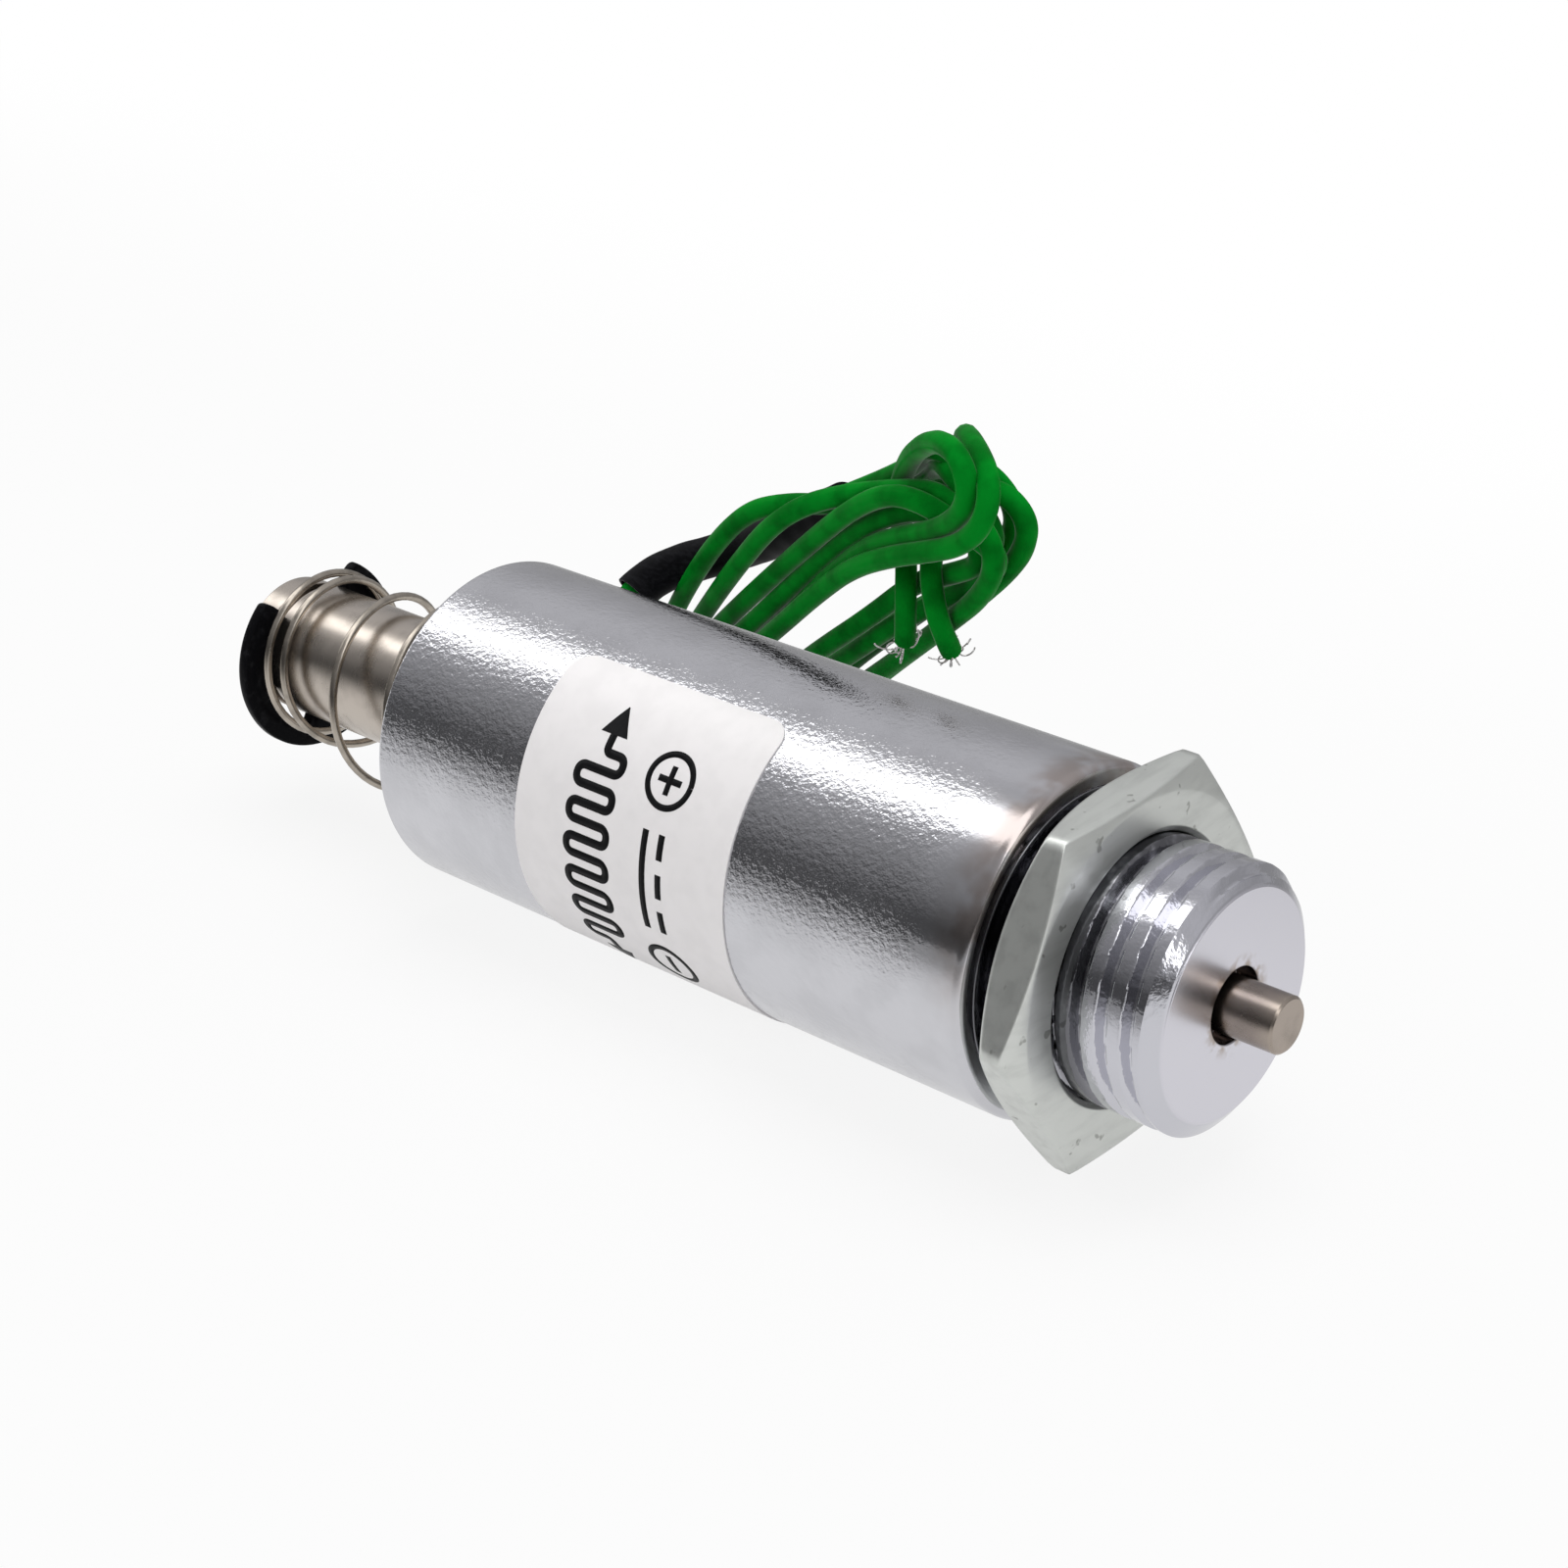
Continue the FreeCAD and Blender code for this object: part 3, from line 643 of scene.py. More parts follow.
def pointer(kind, name, description):
    """One piece's settings."""
    return bpy.props.PointerProperty(type=kind, name=name, description=description)


class SolenoidSettings(bpy.types.PropertyGroup):
    case: pointer(CaseSettings, "Case", "Case tube")
    nose: pointer(NoseSettings, "Nose", "Threaded nose")
    nut: pointer(NutSettings, "Nut", "Mounting nut")
    plunger: pointer(PlungerSettings, "Plunger", "Plunger and push pin")
    clip: pointer(ClipSettings, "Clip", "Retaining clip")
    spring: pointer(SpringSettings, "Spring", "Return spring")
    label: pointer(LabelSettings, "Label", "Rating label")
    leads: pointer(LeadSettings, "Leads", "Leads, sleeve and bare ends")
    stage: pointer(StageSettings, "Stage", "Camera, floor and lamps")


class SOLENOID_OT_stage(bpy.types.Operator):
    """Make the camera, the pale floor, the lamp and the studio round them"""
    bl_idname = "solenoid.stage"
    bl_label = "Stage"

    def execute(self, context):
        settings = context.scene.solenoid.stage
        camera = place_object("camera", bpy.data.cameras.new("camera"))
        turn, lift = settings.azimuth, settings.elevation
        back = Vector((math.sin(turn) * math.cos(lift), -math.cos(turn) * math.cos(lift), math.sin(lift)))
        camera.location = row(CAMERA_PLACE)
        camera.rotation_mode = "QUATERNION"
        camera.rotation_quaternion = (-back).to_track_quat("-Z", "Y")
        camera.data.lens = settings.lens
        camera.data.clip_start = 0.005
        context.scene.camera = camera

        across, near, far = 1.6, -0.28, 2.2
        mesh = bpy.data.meshes.new("floor")
        corners = [(-across, near, 0), (across, near, 0), (across, far, 0), (-across, far, 0)]
        mesh.from_pydata(corners, [], [(0, 1, 2, 3)])
        floor = place_object("floor", mesh)
        floor.location.z = -0.00002
        mesh.materials.append(self.floor_paint())
        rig.stage(floor)

        lamp = place_object("lamp", bpy.data.lights.new("lamp", "AREA"))
        lamp.location = (0.02, 0.06, 0.42)
        lamp.data.size = 0.34
        lamp.data.energy = settings.lamp_power
        lamp.visible_glossy = False
        self.studio(context.scene)
        return {"FINISHED"}

    def floor_paint(self):
        """White to look at, with a faint shadow near the object; what shines sees it grow dimmer far away."""
        material = bpy.data.materials.new("floor_paint")
        nodes = Nodes(material)
        nodes.tree.nodes.clear()
        camera, shines, through = nodes.rays()
        _, away, _ = nodes.parts()
        tone = nodes.blend((0.80, 0.80, 0.80), (0.81, 0.81, 0.81), nodes.noise(0.02))
        matt = nodes.add("BsdfDiffuse", {"Color": tone})
        white = nodes.glow("Emission", WHITE, 1.0 - shines * (0.18 + away.step(14.0, 80.0) * 0.5))
        lift = (camera + shines + through) * (0.86 + away.step(40.0, 130.0) * 0.14)
        nodes.add("OutputMaterial", {"Surface": nodes.mix(lift, matt, white)})
        return material

    def studio(self, scene):
        """A white background; what shines also shows the dim room towards the viewer and the long soft lamp
        above. The room's brightness goes by the angle about the solenoid's axis, from the viewer's level up."""
        world = bpy.data.worlds.new("studio")
        scene.world = world
        nodes = Nodes(world)
        nodes.tree.nodes.clear()
        facing = nodes.add("SeparateXYZ", {"Vector": nodes.add("TexCoord", output=0)})
        y, z = (Signal(nodes, facing.socket.node.outputs[part]) for part in (1, 2))
        angle = nodes.maths("ARCTAN2", z, 0.0 - y) / math.pi
        levels = (
            (0, 0.08), (12, 0.065), (26, 0.15), (38, 0.24), (50, 0.30), (60, 0.40), (68, 0.50), (75, 0.98),
            (93, 0.98), (100, 0.62), (108, 0.48), (122, 0.58), (140, 0.50), (158, 0.40), (170, 0.34), (180, 0.42),
        )
        stops = [
            (degrees / 180, colour((level, level, level * 1.02 if level < 0.6 else level)))
            for degrees, level in levels
        ]
        ramp = nodes.add("ValToRGB", {"Fac": angle}, {"stops": stops})
        lit = angle.step(0.39, 0.42) * angle.step(0.55, 0.51)
        room = nodes.mix(lit, nodes.glow("Background", ramp), nodes.glow("Background", ramp, 2.3))
        camera, shines, through = nodes.rays()
        above = nodes.maths("GREATER_THAN", z, 0.0)
        seen = nodes.mix(above, nodes.glow("Background", colour((0.32, 0.32, 0.32))), room)
        mixed = nodes.mix(shines, nodes.glow("Background", WHITE, 0.62), seen)
        final = nodes.mix(camera + through, mixed, nodes.glow("Background", WHITE))
        nodes.add("OutputWorld", {"Surface": final})


# The two leads' places on the leaning plane of the hank: forward from the case's rear end, up the lean, and
# out from the hank's middle plane, in millimetres. The route is the same as the solids'.
EXIT_ANGLE = 180.0 - 38.0
EXIT = round_axis(-38.9, CASE_RADIUS, EXIT_ANGLE)
EXIT_WAY = round_axis(0.0, 1.0, EXIT_ANGLE)
EXIT_RUN = 2.2
ROUTE = [
    (7.2, 1.7, 3.0), (11.1, 3.6, 3.6), (17.9, 8.3, 3.7), (23.5, 11.9, 3.6), (27.4, 15.0, 2.9),
    (30.0, 18.2, 1.6),
]
# The three turns of the hank and the wrap round them to the cut end, for each lead, as control points: along
# the hank's own line, across it to its upper side, and out from its middle plane, in tenths of a millimetre
TURNS_A = [
    [
        (426, 4, 16), (428, -17, 19), (410, -37, 20), (374, -45, 17), (323, -43, 13), (262, -36, 13),
        (190, -30, 15), (106, -29, 18), (19, -28, 18), (-38, -13, 15), (-49, 16, 10), (-14, 42, 5),
        (51, 57, 1), (125, 65, 0), (193, 69, 2), (243, 67, 5), (277, 55, 7), (310, 38, 6), (355, 19, 6),
        (405, 0, 9),
    ],
    [
        (428, -12, 10), (441, -24, 9), (439, -39, 6), (419, -48, 4), (388, -51, 2), (352, -51, 1),
        (290, -51, 1), (218, -49, 1), (133, -48, -1), (48, -43, -3), (-9, -24, -6), (-17, 5, -7), (23, 28, -7),
        (93, 36, -7), (172, 35, -7), (242, 33, -7), (304, 31, -8), (357, 28, -9), (398, 21, -11),
        (423, 6, -15),
    ],
    [
        (434, -16, -18), (430, -33, -13), (411, -44, -8), (378, -45, -7), (334, -38, -6), (282, -31, -9),
        (227, -28, -9), (174, -25, -7), (127, -21, -1), (82, -24, 9), (42, -22, 8), (16, -8, 5), (17, 11, 0),
        (49, 22, -2), (107, 21, -3), (176, 15, -5), (241, 12, -7), (295, 11, -10), (341, 9, -13),
        (381, 3, -18),
    ],
    [
        (418, -6, -23), (452, -10, -27), (478, -7, -28), (490, 3, -24), (483, 14, -15), (459, 22, -4),
        (423, 25, 5), (385, 22, 13), (354, 15, 16), (339, 4, 12), (340, -5, 3), (347, -12, -9),
        (349, -19, -20), (340, -28, -27), (320, -38, -29),
    ],
]
TURNS_B = [
    [
        (428, -1, 3), (432, -19, -2), (414, -35, 0), (376, -40, 3), (328, -39, 4), (271, -36, 3),
        (203, -33, 3), (121, -33, 3), (34, -31, 4), (-23, -16, 5), (-33, 11, 3), (3, 33, 0), (69, 44, -3),
        (146, 49, -5), (215, 52, -7), (268, 53, -6), (307, 48, -3), (337, 37, 1), (373, 22, 2), (414, 6, -2),
    ],
    [
        (429, -8, -8), (442, -21, -14), (440, -35, -19), (420, -44, -20), (388, -48, -19), (354, -48, -17),
        (295, -48, -12), (227, -46, -9), (145, -43, -7), (61, -36, -8), (6, -20, -10), (-3, 4, -13),
        (30, 21, -14), (91, 26, -14), (162, 24, -12), (233, 22, -8), (297, 21, -5), (348, 16, -4),
        (383, 7, -3), (404, -4, -4),
    ],
    [
        (416, -16, -6), (416, -29, -9), (402, -37, -10), (375, -32, -9), (336, -22, -7), (282, -19, -13),
        (220, -14, -15), (162, -12, -12), (117, -14, -7), (79, -24, -2), (48, -23, -3), (28, -10, -5),
        (30, 7, -8), (62, 15, -11), (122, 14, -14), (198, 12, -17), (272, 11, -20), (335, 8, -24),
        (383, -1, -29),
    ],
    [
        (420, -11, -33), (450, -19, -35), (474, -20, -34), (490, -15, -29), (491, -6, -18), (476, 3, -4),
        (450, 11, 14), (420, 11, 30), (389, 4, 36), (367, -6, 31), (360, -12, 16), (366, -16, -2),
        (372, -23, -17), (370, -34, -27), (359, -46, -30), (342, -58, -27),
    ],
]


def hank_place(places):
    """Points on the leaning plane moved to the axis: the plane leans 30 degrees over behind the case."""
    forward, up, out = np.asarray(places, float).T
    lean, gap, depth, rear = math.radians(30.0), 0.2, 4.2, -42.0
    reach = CASE_RADIUS + gap + depth / 2 + out
    y = reach * math.cos(lean) - up * math.sin(lean)
    z = reach * math.sin(lean) + up * math.cos(lean)
    return np.stack([forward + rear, y, z], axis=-1)


def slant(along, across):
    """The hank's slanting line on the leaning plane: along runs up it, across points to its upper side."""
    return np.stack([1.8 + 0.714 * along - 0.701 * across, -11.86 + 0.701 * along + 0.714 * across], axis=-1)


def lead_line(side, turns):
    """A lead's control points: its route beside the other lead, then the turns of the hank and the wrap."""
    route = hank_place(ROUTE)
    spacing, splice_radius = 1.06, 7.02
    beside = unit(np.cross(EXIT_WAY, route[2] - EXIT)) * spacing / 2 * side
    inside = EXIT + EXIT_WAY * (splice_radius - CASE_RADIUS)
    line = [np.vstack([inside, EXIT + EXIT_WAY * EXIT_RUN, route]) + beside]
    for turn in turns:
        along, across, outwards = np.array(turn).T / 10
        line.append(hank_place(np.column_stack([slant(along, across), outwards])))
    return np.vstack(line)


def spline(name, points, radius):
    """A smooth NURBS curve of third order with the points as its control points."""
    data = bpy.data.curves.new(name, "CURVE")
    data.dimensions = "3D"
    data.resolution_u = 8
    line = data.splines.new("NURBS")
    line.points.add(len(points) - 1)
    line.points.foreach_set("co", np.column_stack([row(points), np.ones(len(points))]).ravel())
    line.order_u = 3
    line.use_endpoint_u = True
    data.bevel_depth = radius * MM
    data.bevel_resolution = 4
    data.use_fill_caps = True
    return data


def read_line(name, points):
    """The points along a spline's own smooth line, on the axis in millimetres."""
    data = spline(name, points, 0.0)
    data.use_fill_caps = False
    carrier = bpy.data.objects.new(name, data)
    mesh = bpy.data.meshes.new_from_object(carrier)
    flat = np.zeros(len(mesh.vertices) * 3)
    mesh.vertices.foreach_get("co", flat)
    bpy.data.meshes.remove(mesh)
    bpy.data.objects.remove(carrier)
    bpy.data.curves.remove(data)
    return flat.reshape(-1, 3) / MM - [FRONT, 0.0, AXIS_HEIGHT]


class SOLENOID_OT_leads(bpy.types.Operator):
    """Make the two leads from the case through the hank to their cut ends, the sleeve and the bare strands"""
    bl_idname = "solenoid.leads"
    bl_label = "Leads"

    def execute(self, context):
        settings = context.scene.solenoid.leads
        radius = settings.diameter / MM / 2
        green = green_insulation(settings)
        tinned = grained(
            "tinned_strand", (0.74, 0.73, 0.71), (0.46, 0.44, 0.41), (3.0,), (0.4, 0.7), (0.2, 0.2), 1.0,
            Metallic=1.0,
        )
        sleeve = self.sleeve()
        for letter, side, turns, length, hidden in (
            ("a", -1, TURNS_A, settings.length_a, ["lead_hank"]), ("b", 1, TURNS_B, settings.length_b, []),
        ):
            name = "lead_" + letter
            points = lead_line(side, turns)
            lead = settle(
                name, spline(name, points, radius), green, "housing", "green_wire",
                replaces=["lead_tube_" + letter, "lead_tail_" + letter] + hidden,
            )
            lead.visible_glossy = False
            strands = self.strands("strands_" + letter, points, tinned, "lead_end_" + letter, settings)
            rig.cord(
                lead, exit=row(EXIT).tolist(), length=length, diameter=settings.diameter, far_end="bare",
                stiffness="medium", lay="coiled", with_pieces=[strands] + ([sleeve] if letter == "a" else []),
            )
        return {"FINISHED"}

    def strands(self, name, points, material, node, settings):
        """Thin strands that leave the cut end and curl: each goes on and swings out in a growing arc."""
        chance = np.random.default_rng(settings.seed + len(name) + ord(name[-1]))
        start = points[-1]
        onward = unit(start - points[-2])
        side = unit(np.cross(onward, [1.0, 0.3, 0.2]))
        other = np.cross(onward, side)
        count = settings.strands
        share = np.linspace(0, 1, 26)[None, :, None]
        turn = chance.uniform(0, 2 * math.pi, (count, 1, 1))
        rest = chance.uniform(0, 1, (count, 4, 1, 1))
        out = side * np.cos(turn) + other * np.sin(turn)
        beside = np.cross(onward, out)
        swing = (2.2 + 3.0 * rest[:, 0]) * share
        lean = 0.5 + 0.9 * rest[:, 1]
        reach = 0.5 + 0.6 * rest[:, 2]
        lines = (
            start - onward * 0.5 + out * (0.08 + 0.26 * rest[:, 3])
            + onward * (0.5 * np.minimum(share * 4, 1) + reach * np.sin(swing) / (1 + share))
            + out * lean * (1 - np.cos(swing)) * reach * 0.55
            + beside * (rest[:, 1] - 0.5) * share ** 2 * 1.1
        )
        grids = [tube(line, 0.045, side, sides=6) for line in lines]
        return surface(name, np.array(grids), material, "housing", "tinned", sharp=None, replaces=[node])

    def sleeve(self):
        """The sleeving over both leads: a ring carried along the route's spline, outside and back inside."""
        route = hank_place(ROUTE[:4])
        route[-1] = route[-2] + (route[-1] - route[-2]) * 0.1
        points = np.vstack([EXIT, EXIT + EXIT_WAY * EXIT_RUN, route])
        path = read_line("sleeve_line", points)
        even, path = evenly(path, 0.75, 90)
        across = np.cross(EXIT_WAY, [1.0, 0.0, 0.0])
        ripple = 0.025 * np.sin(even * 2.3) * np.sin(even * 0.9 + 1.0)
        outer = tube(path, 1.23 + ripple, across, sides=40, capped=False)
        inner = tube(path, 1.08 + ripple * 0.5, across, sides=40, capped=False)
        grid = np.concatenate([outer, inner[::-1]], axis=0)
        woven = grained(
            "black_sleeving", (0.004, 0.004, 0.005), (0.010, 0.010, 0.012), (5.0, (0.5, 1.0, 1.0), 3.0),
            (0.4, 0.7), (0.40, 0.2), 5.0, Specular_IOR_Level=0.05,
        )
        return surface("sleeving_tube", grid, woven, "housing", "sleeve", (True, True), replaces=["lead_sleeve"])


class SOLENOID_OT_case(bpy.types.Operator):
    """Make the case tube: a thin walled tube with a rolled front edge"""
    bl_idname = "solenoid.case"
    bl_label = "Case"

    def execute(self, context):
        settings = context.scene.solenoid.case
        radius, length = settings.diameter / MM / 2, settings.length / MM
        bore = radius - settings.wall / MM
        profile = rounded([
            (-length * 0.4, bore, 0), (0, bore, 0.06), (0, radius, settings.front_round / MM),
            (-length, radius, settings.rear_round / MM), (-length, bore, 0.08), (-length * 0.6, bore, 0),
        ], steps=8)
        zinc = case_zinc(settings)
        turned("case_shell", profile, zinc, "housing", "zinc_case", closed=True, replaces=["case_tube"])
        return {"FINISHED"}


class SOLENOID_OT_nose(bpy.types.Operator):
    """Make the threaded nose with its flange and the pole behind it"""
    bl_idname = "solenoid.nose"
    bl_label = "Threaded Nose"

    def execute(self, context):
        settings = context.scene.solenoid.nose
        crest, length = settings.diameter / MM / 2, settings.length / MM
        behind = rounded([
            (-10.4, 1.9, 0), (-13.0, 3.6, 0.05), (-13.0, 4.03, 0.05), (-3.0, 4.03, 0.05), (-3.0, 8.38, 0.1),
            (0.0, 8.38, 0.12), (0.0, 6.3, 0.1), (0.9, 6.3, 0.05), (0.9, crest, 0.03), (1.1, crest, 0),
        ], steps=3)
        ahead = rounded([
            (length - 0.08, crest - 0.9, 0), (length, crest - 1.0, 0.07), (length, 2.0, 0.08), (8.1, 2.0, 0.05),
            (8.1, 1.55, 0.05), (-10.4, 1.55, 0.05), (-10.4, 1.9, 0),
        ], steps=4)
        x = np.linspace(1.12, length - 0.1, 150)
        chamfer = crest - np.clip(x - (length - 0.7), 0, None) / 0.7
        columns = 288
        angle = np.arange(columns) * 360.0 / columns
        radius = self.thread(x[:, None], angle[None], chamfer[:, None], settings)
        middle = round_axis(x[:, None], radius, angle[None])
        ends = [round_axis(part[:, :1], part[:, 1:], angle[None]) for part in (behind, ahead)]
        grid = np.concatenate([ends[0], middle, ends[1]], axis=0)
        steel = nose_steel(settings)
        surface("threaded_nose", grid, steel, "housing", "turned_steel", (True, True), 50, ["threaded_bush"])
        return {"FINISHED"}

    def thread(self, x, angle, outside, settings):
        """The radius over the thread: the groove's middle moves back one pitch for each turn, and the groove
        gets deeper towards its middle, to a narrow flat at the root; nothing stands over the outside."""
        pitch = settings.pitch / MM
        half = settings.groove_width / MM / 2
        middle = 4.8 - pitch * (angle - 32.0) / 360.0
        aside = np.abs((x - middle + pitch / 2) % pitch - pitch / 2)
        share = np.clip((half - aside) / (half * 0.8), 0, 1)
        return np.minimum(outside, settings.diameter / MM / 2 - settings.groove_depth / MM * share)


class SOLENOID_OT_nut(bpy.types.Operator):
    """Make the hexagon nut, chamfered on both faces"""
    bl_idname = "solenoid.nut"
    bl_label = "Nut"

    def execute(self, context):
        settings = context.scene.solenoid.nut
        per_side = 24
        aside = np.arange(6 * per_side) * 60.0 / per_side
        angle = aside + math.degrees(settings.corner_angle)
        edge = self.hexagon(aside, settings)
        rear, front, face, bore = 1.35, 3.9, 9.2, 7.05
        mouth = bore + 0.3
        low, high = math.tan(math.radians(15)), math.tan(math.radians(30))
        front_edge = front - (edge - face) * low
        rear_edge = rear + (edge - face) * high
        rows = [
            (front - 0.36, bore), (front - 0.3, bore), (front - 0.25, bore + 0.05), (front - 0.05, mouth - 0.05),
            (front, mouth + 0.02), (front, mouth + 0.1), (front, face - 0.2), (front, face - 0.06),
            (front - 0.03 * low, face + 0.05),
            (front_edge + 0.13 * low, edge - 0.13), (front_edge - 0.02, edge - 0.03), (front_edge - 0.12, edge),
            (rear_edge + 0.2, edge), (rear_edge + 0.06, edge - 0.02), (rear_edge - 0.06, edge - 0.11),
            (rear + 0.02, face + 0.03), (rear, face - 0.08), (rear, mouth + 0.1), (rear, mouth),
            (rear + 0.3, bore), (rear + 0.4, bore),
        ]
        grid = np.stack([round_axis(x, radius, angle) for x, radius in rows])
        surface("hexagon_nut", grid, nut_zinc(settings), "nut", "nut_zinc", (True, True), 60, ["mounting_nut"])
        return {"FINISHED"}

    def hexagon(self, angle, settings):
        """The distance from the axis to a hexagon with rounded corners, by the angle from one corner: on a
        flat, half the width over the cosine of the angle from its middle; at a corner, where the ray meets the
        corner's circle."""
        half = settings.across_flats / MM / 2
        size = settings.corner_round / MM
        aside = np.radians((angle + 30.0) % 60.0 - 30.0)
        flat = half / np.cos(math.pi / 6 - np.abs(aside))
        centre = (half - size) / math.cos(math.pi / 6)
        limit = math.atan2(size * 0.5, centre + size * math.cos(math.pi / 6))
        inside = np.clip(size ** 2 - (centre * np.sin(aside)) ** 2, 0, None)
        return np.where(np.abs(aside) < limit, centre * np.cos(aside) + np.sqrt(inside), flat)


class SOLENOID_OT_plunger(bpy.types.Operator):
    """Make the plunger with its groove for the clip, and the push pin"""
    bl_idname = "solenoid.plunger"
    bl_label = "Plunger And Pin"

    def execute(self, context):
        settings = context.scene.solenoid.plunger
        edge = settings.edge_round / MM
        profile = rounded([
            (-60.9, 0, 0), (-60.9, 3.5, edge), (-60.4, 4.0, edge), (-58.85, 4.0, 0.05), (-58.85, 3.0, 0.05),
            (-58.05, 3.0, 0.05), (-58.05, 4.0, 0.05), (-21.35, 4.0, edge), (-21.35, 3.55, 0.05),
            (-18.75, 1.85, 0.05), (-18.75, 1.51, 0.03), (-26.75, 1.51, 0.03), (-26.75, 0, 0),
        ], steps=4)
        nickel = worn_nickel("plunger_nickel", settings.colour, False)
        turned("plunger_rod", profile, nickel, "plunger", "nickel", columns=128, replaces=["plunger"])
        profile = rounded([
            (-26.74, 0, 0), (-26.74, 1.5, 0.1), (12.26, 1.5, 0.05), (12.4, 1.36, 0.06), (12.4, 0, 0),
        ], steps=4)
        nickel = worn_nickel("pin_nickel", settings.pin_colour, True)
        turned("pin_rod", profile, nickel, "plunger", "nickel", columns=96, replaces=["push_pin"])
        return {"FINISHED"}


class SOLENOID_OT_clip(bpy.types.Operator):
    """Make the black retaining clip in the plunger's groove"""
    bl_idname = "solenoid.clip"
    bl_label = "Retaining Clip"

    def execute(self, context):
        """The clip's section is a rectangle with rounded edges, carried round from one tip to the other: its
        outside is a circle off the axis, and its inside follows the prongs by the angle from the opening."""
        settings = context.scene.solenoid.clip
        opening, tip = 85.0, 36.5
        half = np.concatenate([np.linspace(tip, tip + 6, 16), np.arange(tip + 6.8, 180.0, 0.8)])
        away = np.concatenate([half, 360.0 - half[::-1]])
        turn = np.minimum(away, 360.0 - away)
        knots = (36, 44, 55, 65, 78, 87, 101, 109.5, 111.5, 118, 129, 150, 159, 163, 166, 180)
        inner = (3.6, 3.35, 3.08, 3.04, 3.08, 3.35, 3.8, 4.15, 4.42, 4.5, 4.62, 4.7, 4.72, 3.35, 3.03, 3.02)
        inside = np.interp(turn, knots, inner)
        outside = 5.95 - 0.3 * np.cos(np.radians(turn))
        middle = (inside + outside) / 2
        thin = np.sqrt(np.clip(1 - np.clip((tip + 5.0 - turn) / 5.0, 0, 1) ** 2, 0, 1))
        inside = middle + (inside - middle) * thin
        outside = middle + (outside - middle) * thin
        rim = np.minimum(settings.rim_round / MM, (outside - inside) / 4)
        part = rim * 0.3
        rear, front = -58.8, -58.1
        section = [
            (rear, inside + rim), (rear, outside - rim), (rear + part, outside - part), (rear + rim, outside),
            (front - rim, outside), (front - part, outside - part), (front, outside - rim),
            (front, inside + rim), (front - part, inside + part), (front - rim, inside),
            (rear + rim, inside), (rear + part, inside + part),
        ]
        grid = np.stack([round_axis(x, radius, opening + away) for x, radius in section])
        black = blackened(settings)
        surface("clip_plate", grid, black, "plunger", "black_clip", (True, False), 60, ["retaining_clip"])
        return {"FINISHED"}


class SOLENOID_OT_spring(bpy.types.Operator):
    """Make the return spring between the clip and the back of the case"""
    bl_idname = "solenoid.spring"
    bl_label = "Return Spring"

    def execute(self, context):
        """The wire turns backwards about the axis as it goes forward; its place and radius follow the turns
        counted from the clip, and the middle turns hang a little below the axis."""
        settings = context.scene.solenoid.spring
        wire = settings.wire / MM / 2
        turns = np.linspace(0, settings.turns, int(settings.turns * 56))
        knots = np.array((0, 0.556, 1.3, 1.556, 2.556, 3.556, 4.2, 4.556, 5.1))
        places = np.array((-57.83, -57.15, -56.35, -55.85, -50.3, -44.8, -42.75, -42.3, -41.88))
        fine = np.linspace(-0.4, 5.5, 1200)
        soft = np.ones(60) / 60
        x = np.convolve(np.interp(fine, knots, places), soft, "same")
        x = np.interp(turns, fine[60:-60], x[60:-60])
        radius = np.interp(turns, (0, 0.556, 1.556, 2.556, 3.556, 5.1), (4.95, 4.97, 4.8, 5.66, 6.3, 6.45))
        radius = np.convolve(np.pad(radius, 12, "edge"), np.ones(25) / 25, "valid")
        angle = math.degrees(settings.start_angle) - 360.0 * turns
        path = round_axis(x, radius, angle)
        path[:, 2] -= 0.7 * np.exp(-((turns - 2.6) / 0.7) ** 2)
        grid = tube(path, wire, path * [0, 1, 1])
        steel = spring_steel(settings)
        piece = surface("spring_wire", grid, steel, "housing", "spring_wire", replaces=["return_spring"])
        travel = frame["joints"][0]["range_m"][1]
        span = (np.ptp(x) + 2 * wire) * MM
        anchor = row((-41.6, 0.0, 0.0)).tolist()
        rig.squash(piece, "plunger_slide", axis=(1, 0, 0), anchor=anchor, keep=(span - travel) / span)
        return {"FINISHED"}


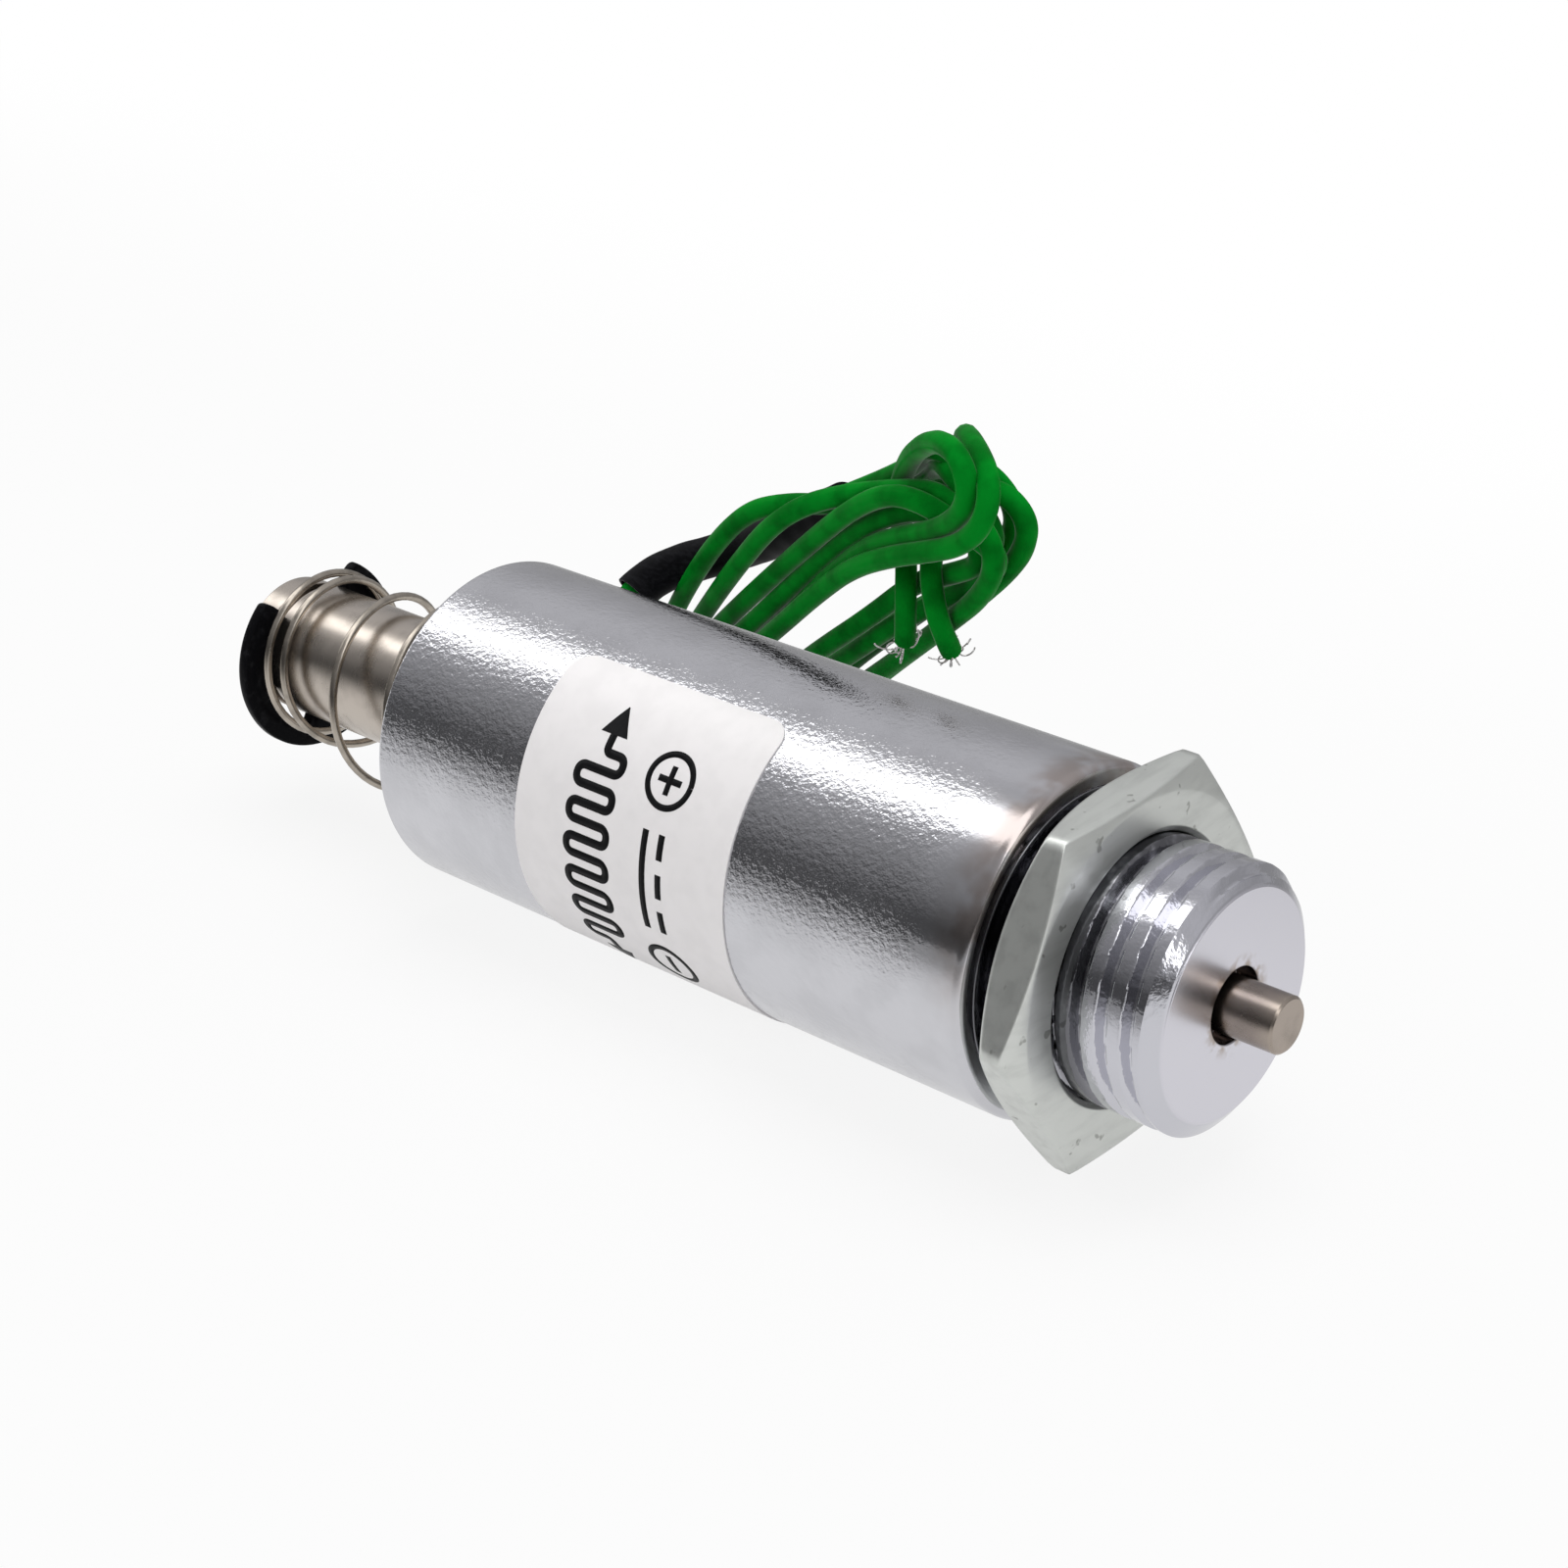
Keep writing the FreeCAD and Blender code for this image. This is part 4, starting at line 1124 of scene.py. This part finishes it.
class SOLENOID_OT_label(bpy.types.Operator):
    """Make the label and the generic signs printed on it"""
    bl_idname = "solenoid.label"
    bl_label = "Label"

    def execute(self, context):
        settings = context.scene.solenoid.label
        top, bottom = math.degrees(settings.top_angle), math.degrees(settings.bottom_angle)
        corner, half = settings.corner / MM, settings.width / MM / 2
        middle = half - settings.rear / MM
        around = (1 - np.cos(np.linspace(0, math.pi, 121))) / 2
        angle = top + (bottom - top) * around
        to_end = np.minimum(angle - bottom, top - angle) * math.radians(1) * LABEL_RADIUS
        cut = np.clip(corner - to_end, 0, corner)
        reach = half - (corner - np.sqrt(corner ** 2 - cut ** 2))
        across = np.linspace(-1, 1, 9)
        x = np.concatenate([across, across[::-1]])[:, None] * reach + middle
        closing = np.ones(len(angle))
        closing[[0, -1]] = 0.5
        high, low = 9.503 + 0.077 * closing, LABEL_RADIUS - 0.077 * closing
        grid = round_axis(x, np.repeat([high, low], len(across), axis=0), angle)
        film = label_paper(settings)
        surface("label_film_sheet", grid, film, "housing", "label", (True, False), 50, ["rating_label"])
        self.printing()
        return {"FINISHED"}

    def printing(self):
        """A coil between two arrows, and in the next row a direct current sign between two terminals."""
        pitch, low, high, middle = 0.98, -26.75, -23.85, -25.3
        corners = [(middle, 7.0, 0), (middle, 5.9, 0.3), (high, 5.9, 0.44)]
        for number in range(1, 12):
            ends = (low, high) if number % 2 == 0 else (high, low)
            corners += [(end, 5.9 - pitch * number, 0.44) for end in ends]
        corners += [(low, 5.9 - pitch * 12, 0.44), (middle, 5.9 - pitch * 12, 0.3), (middle, -7.0, 0)]
        lines = [((0.50, 0.50), rounded(corners, 8))]
        lines += [((1.9, 0.06), [(middle, 6.9 * side), (middle, 8.6 * side)]) for side in (1, -1)]
        lines.append(((0.42, 0.42), [(-21.15, 2.9), (-21.15, -2.9)]))
        lines += [((0.42, 0.42), [(-20.0, start), (-20.0, start - 1.4)]) for start in (2.9, 0.7, -1.5)]
        turn = np.linspace(0, 2 * math.pi, 61)
        for place in (5.7, -5.7):
            circle = np.column_stack([-20.55 + 1.45 * np.cos(turn), place + 1.45 * np.sin(turn)])
            lines += [((0.36, 0.36), circle), ((0.36, 0.36), [(-20.55, place + 0.8), (-20.55, place - 0.8)])]
        lines.append(((0.36, 0.36), [(-21.35, 5.7), (-19.75, 5.7)]))
        ink = grained(
            "label_ink", (0.005, 0.005, 0.006), (0.014, 0.014, 0.015), (4.0, (1.0, 1.0, 1.0), 3.0), None,
            (0.34, 0.15), 1.0, Specular_IOR_Level=0.06,
        )
        grids = np.array([self.ribbon(np.array(points), width) for width, points in lines])
        surface("label_print", grids, ink, "housing", "label", sharp=None)

    def ribbon(self, points, width):
        """A flat line on the label, as wide at its start and end as the two widths: its edges lie half its
        width to each side of the centre line, which is (along, around) in millimetres; it stands proud and
        closes at its ends."""
        _, line = evenly(points, 0, 480)
        along = unit(np.gradient(line, axis=0))
        aside = np.stack([-along[:, 1], along[:, 0]], axis=-1) * np.linspace(*width, len(line))[:, None] / 2
        left, right = line + aside, line - aside
        loop = np.stack([left, left, right, right], axis=1)
        height = np.broadcast_to(np.array([9.57, 9.59, 9.59, 9.57]), loop.shape[:2]).copy()
        height[[0, -1]] = LABEL_RADIUS
        return round_axis(loop[..., 0], height, np.degrees(loop[..., 1] / LABEL_RADIUS))


class SOLENOID_OT_inside(bpy.types.Operator):
    """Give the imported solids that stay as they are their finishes"""
    bl_idname = "solenoid.inside"
    bl_label = "Inner Parts"

    def execute(self, context):
        for name, first, second, metallic, rough, per_mm, stretch, micron, parts in (
            ("plate_zinc", (0.60, 0.61, 0.62), (0.46, 0.47, 0.48), 1.0, 0.24, 1.4, (1, 1, 1), 3.0, ["rear_plate"]),
            ("drawn_brass", (0.72, 0.56, 0.28), (0.58, 0.42, 0.19), 1.0, 0.22, 4.0, (0.05, 1, 1), 1.5,
             ["guide_tube", "residual_shim"]),
            ("moulded_nylon", (0.78, 0.75, 0.66), (0.70, 0.66, 0.55), 0.0, 0.42, 1.0, (1, 1, 1), 4.0, ["bobbin"]),
            ("wound_copper", (0.62, 0.24, 0.08), (0.40, 0.13, 0.04), 0.9, 0.26, 5.0, (1, 0.02, 0.02), 60.0,
             ["coil_winding"]),
            ("yellow_tape", (0.70, 0.50, 0.06), (0.62, 0.42, 0.04), 0.0, 0.28, 0.8, (1, 0.3, 0.3), 6.0,
             ["winding_tape"]),
            ("grommet_rubber", (0.012, 0.014, 0.012), (0.03, 0.035, 0.03), 0.0, 0.5, 3.0, (1, 1, 1), 5.0,
             ["lead_grommet"]),
            ("soft_solder", (0.66, 0.66, 0.65), (0.50, 0.50, 0.49), 1.0, 0.30, 2.0, (1, 1, 1), 12.0,
             ["lead_splice_a", "lead_splice_b"]),
        ):
            dressing = grained(
                name, first, second, (per_mm, stretch, 3.0), (0.35, 0.7), (rough, 0.12), micron,
                Metallic=metallic,
            )
            for part in parts:
                slots = frame["nodes"][part].data.materials
                slots.clear()
                slots.append(dressing)
        return {"FINISHED"}


class SOLENOID_PT_pieces(bpy.types.Panel):
    """Buttons and sizes for the solenoid's pieces"""
    bl_idname = "SOLENOID_PT_pieces"
    bl_label = "Push Pull Solenoid"
    bl_space_type = "VIEW_3D"
    bl_region_type = "UI"
    bl_category = "Solenoid"

    def draw(self, context):
        for operator in PIECES:
            box = self.layout.box()
            box.operator(operator.bl_idname)
            group = getattr(context.scene.solenoid, operator.bl_idname.split(".")[1], None)
            for name in group.bl_rna.properties.keys() if group else ():
                if name not in ("rna_type", "name"):
                    box.prop(group, name)


# Each piece's operator, in the order they are made; its name is that of the settings it reads, if it has any
PIECES = (
    SOLENOID_OT_stage, SOLENOID_OT_leads, SOLENOID_OT_case, SOLENOID_OT_nose, SOLENOID_OT_nut,
    SOLENOID_OT_plunger, SOLENOID_OT_clip, SOLENOID_OT_spring, SOLENOID_OT_label, SOLENOID_OT_inside,
)
CLASSES = (
    CaseSettings, NoseSettings, NutSettings, PlungerSettings, ClipSettings, SpringSettings, LabelSettings,
    LeadSettings, StageSettings, SolenoidSettings, *PIECES, SOLENOID_PT_pieces,
)


def register():
    for item in CLASSES:
        bpy.utils.register_class(item)
    bpy.types.Scene.solenoid = bpy.props.PointerProperty(type=SolenoidSettings)


def unregister():
    del bpy.types.Scene.solenoid
    for item in reversed(CLASSES):
        bpy.utils.unregister_class(item)


def main():
    register()
    bpy.context.scene.view_settings.view_transform = "Standard"
    for operator in PIECES:
        getattr(bpy.ops.solenoid, operator.bl_idname.split(".")[1])()
    boxes = {
        "solids": [list(corner) for corner in CAD_BOX],
        "scene": [list(corner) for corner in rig.bounds()],
    }
    with open("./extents.json", "w") as out:
        json.dump(boxes, out)


if __name__ == "__main__":
    main()
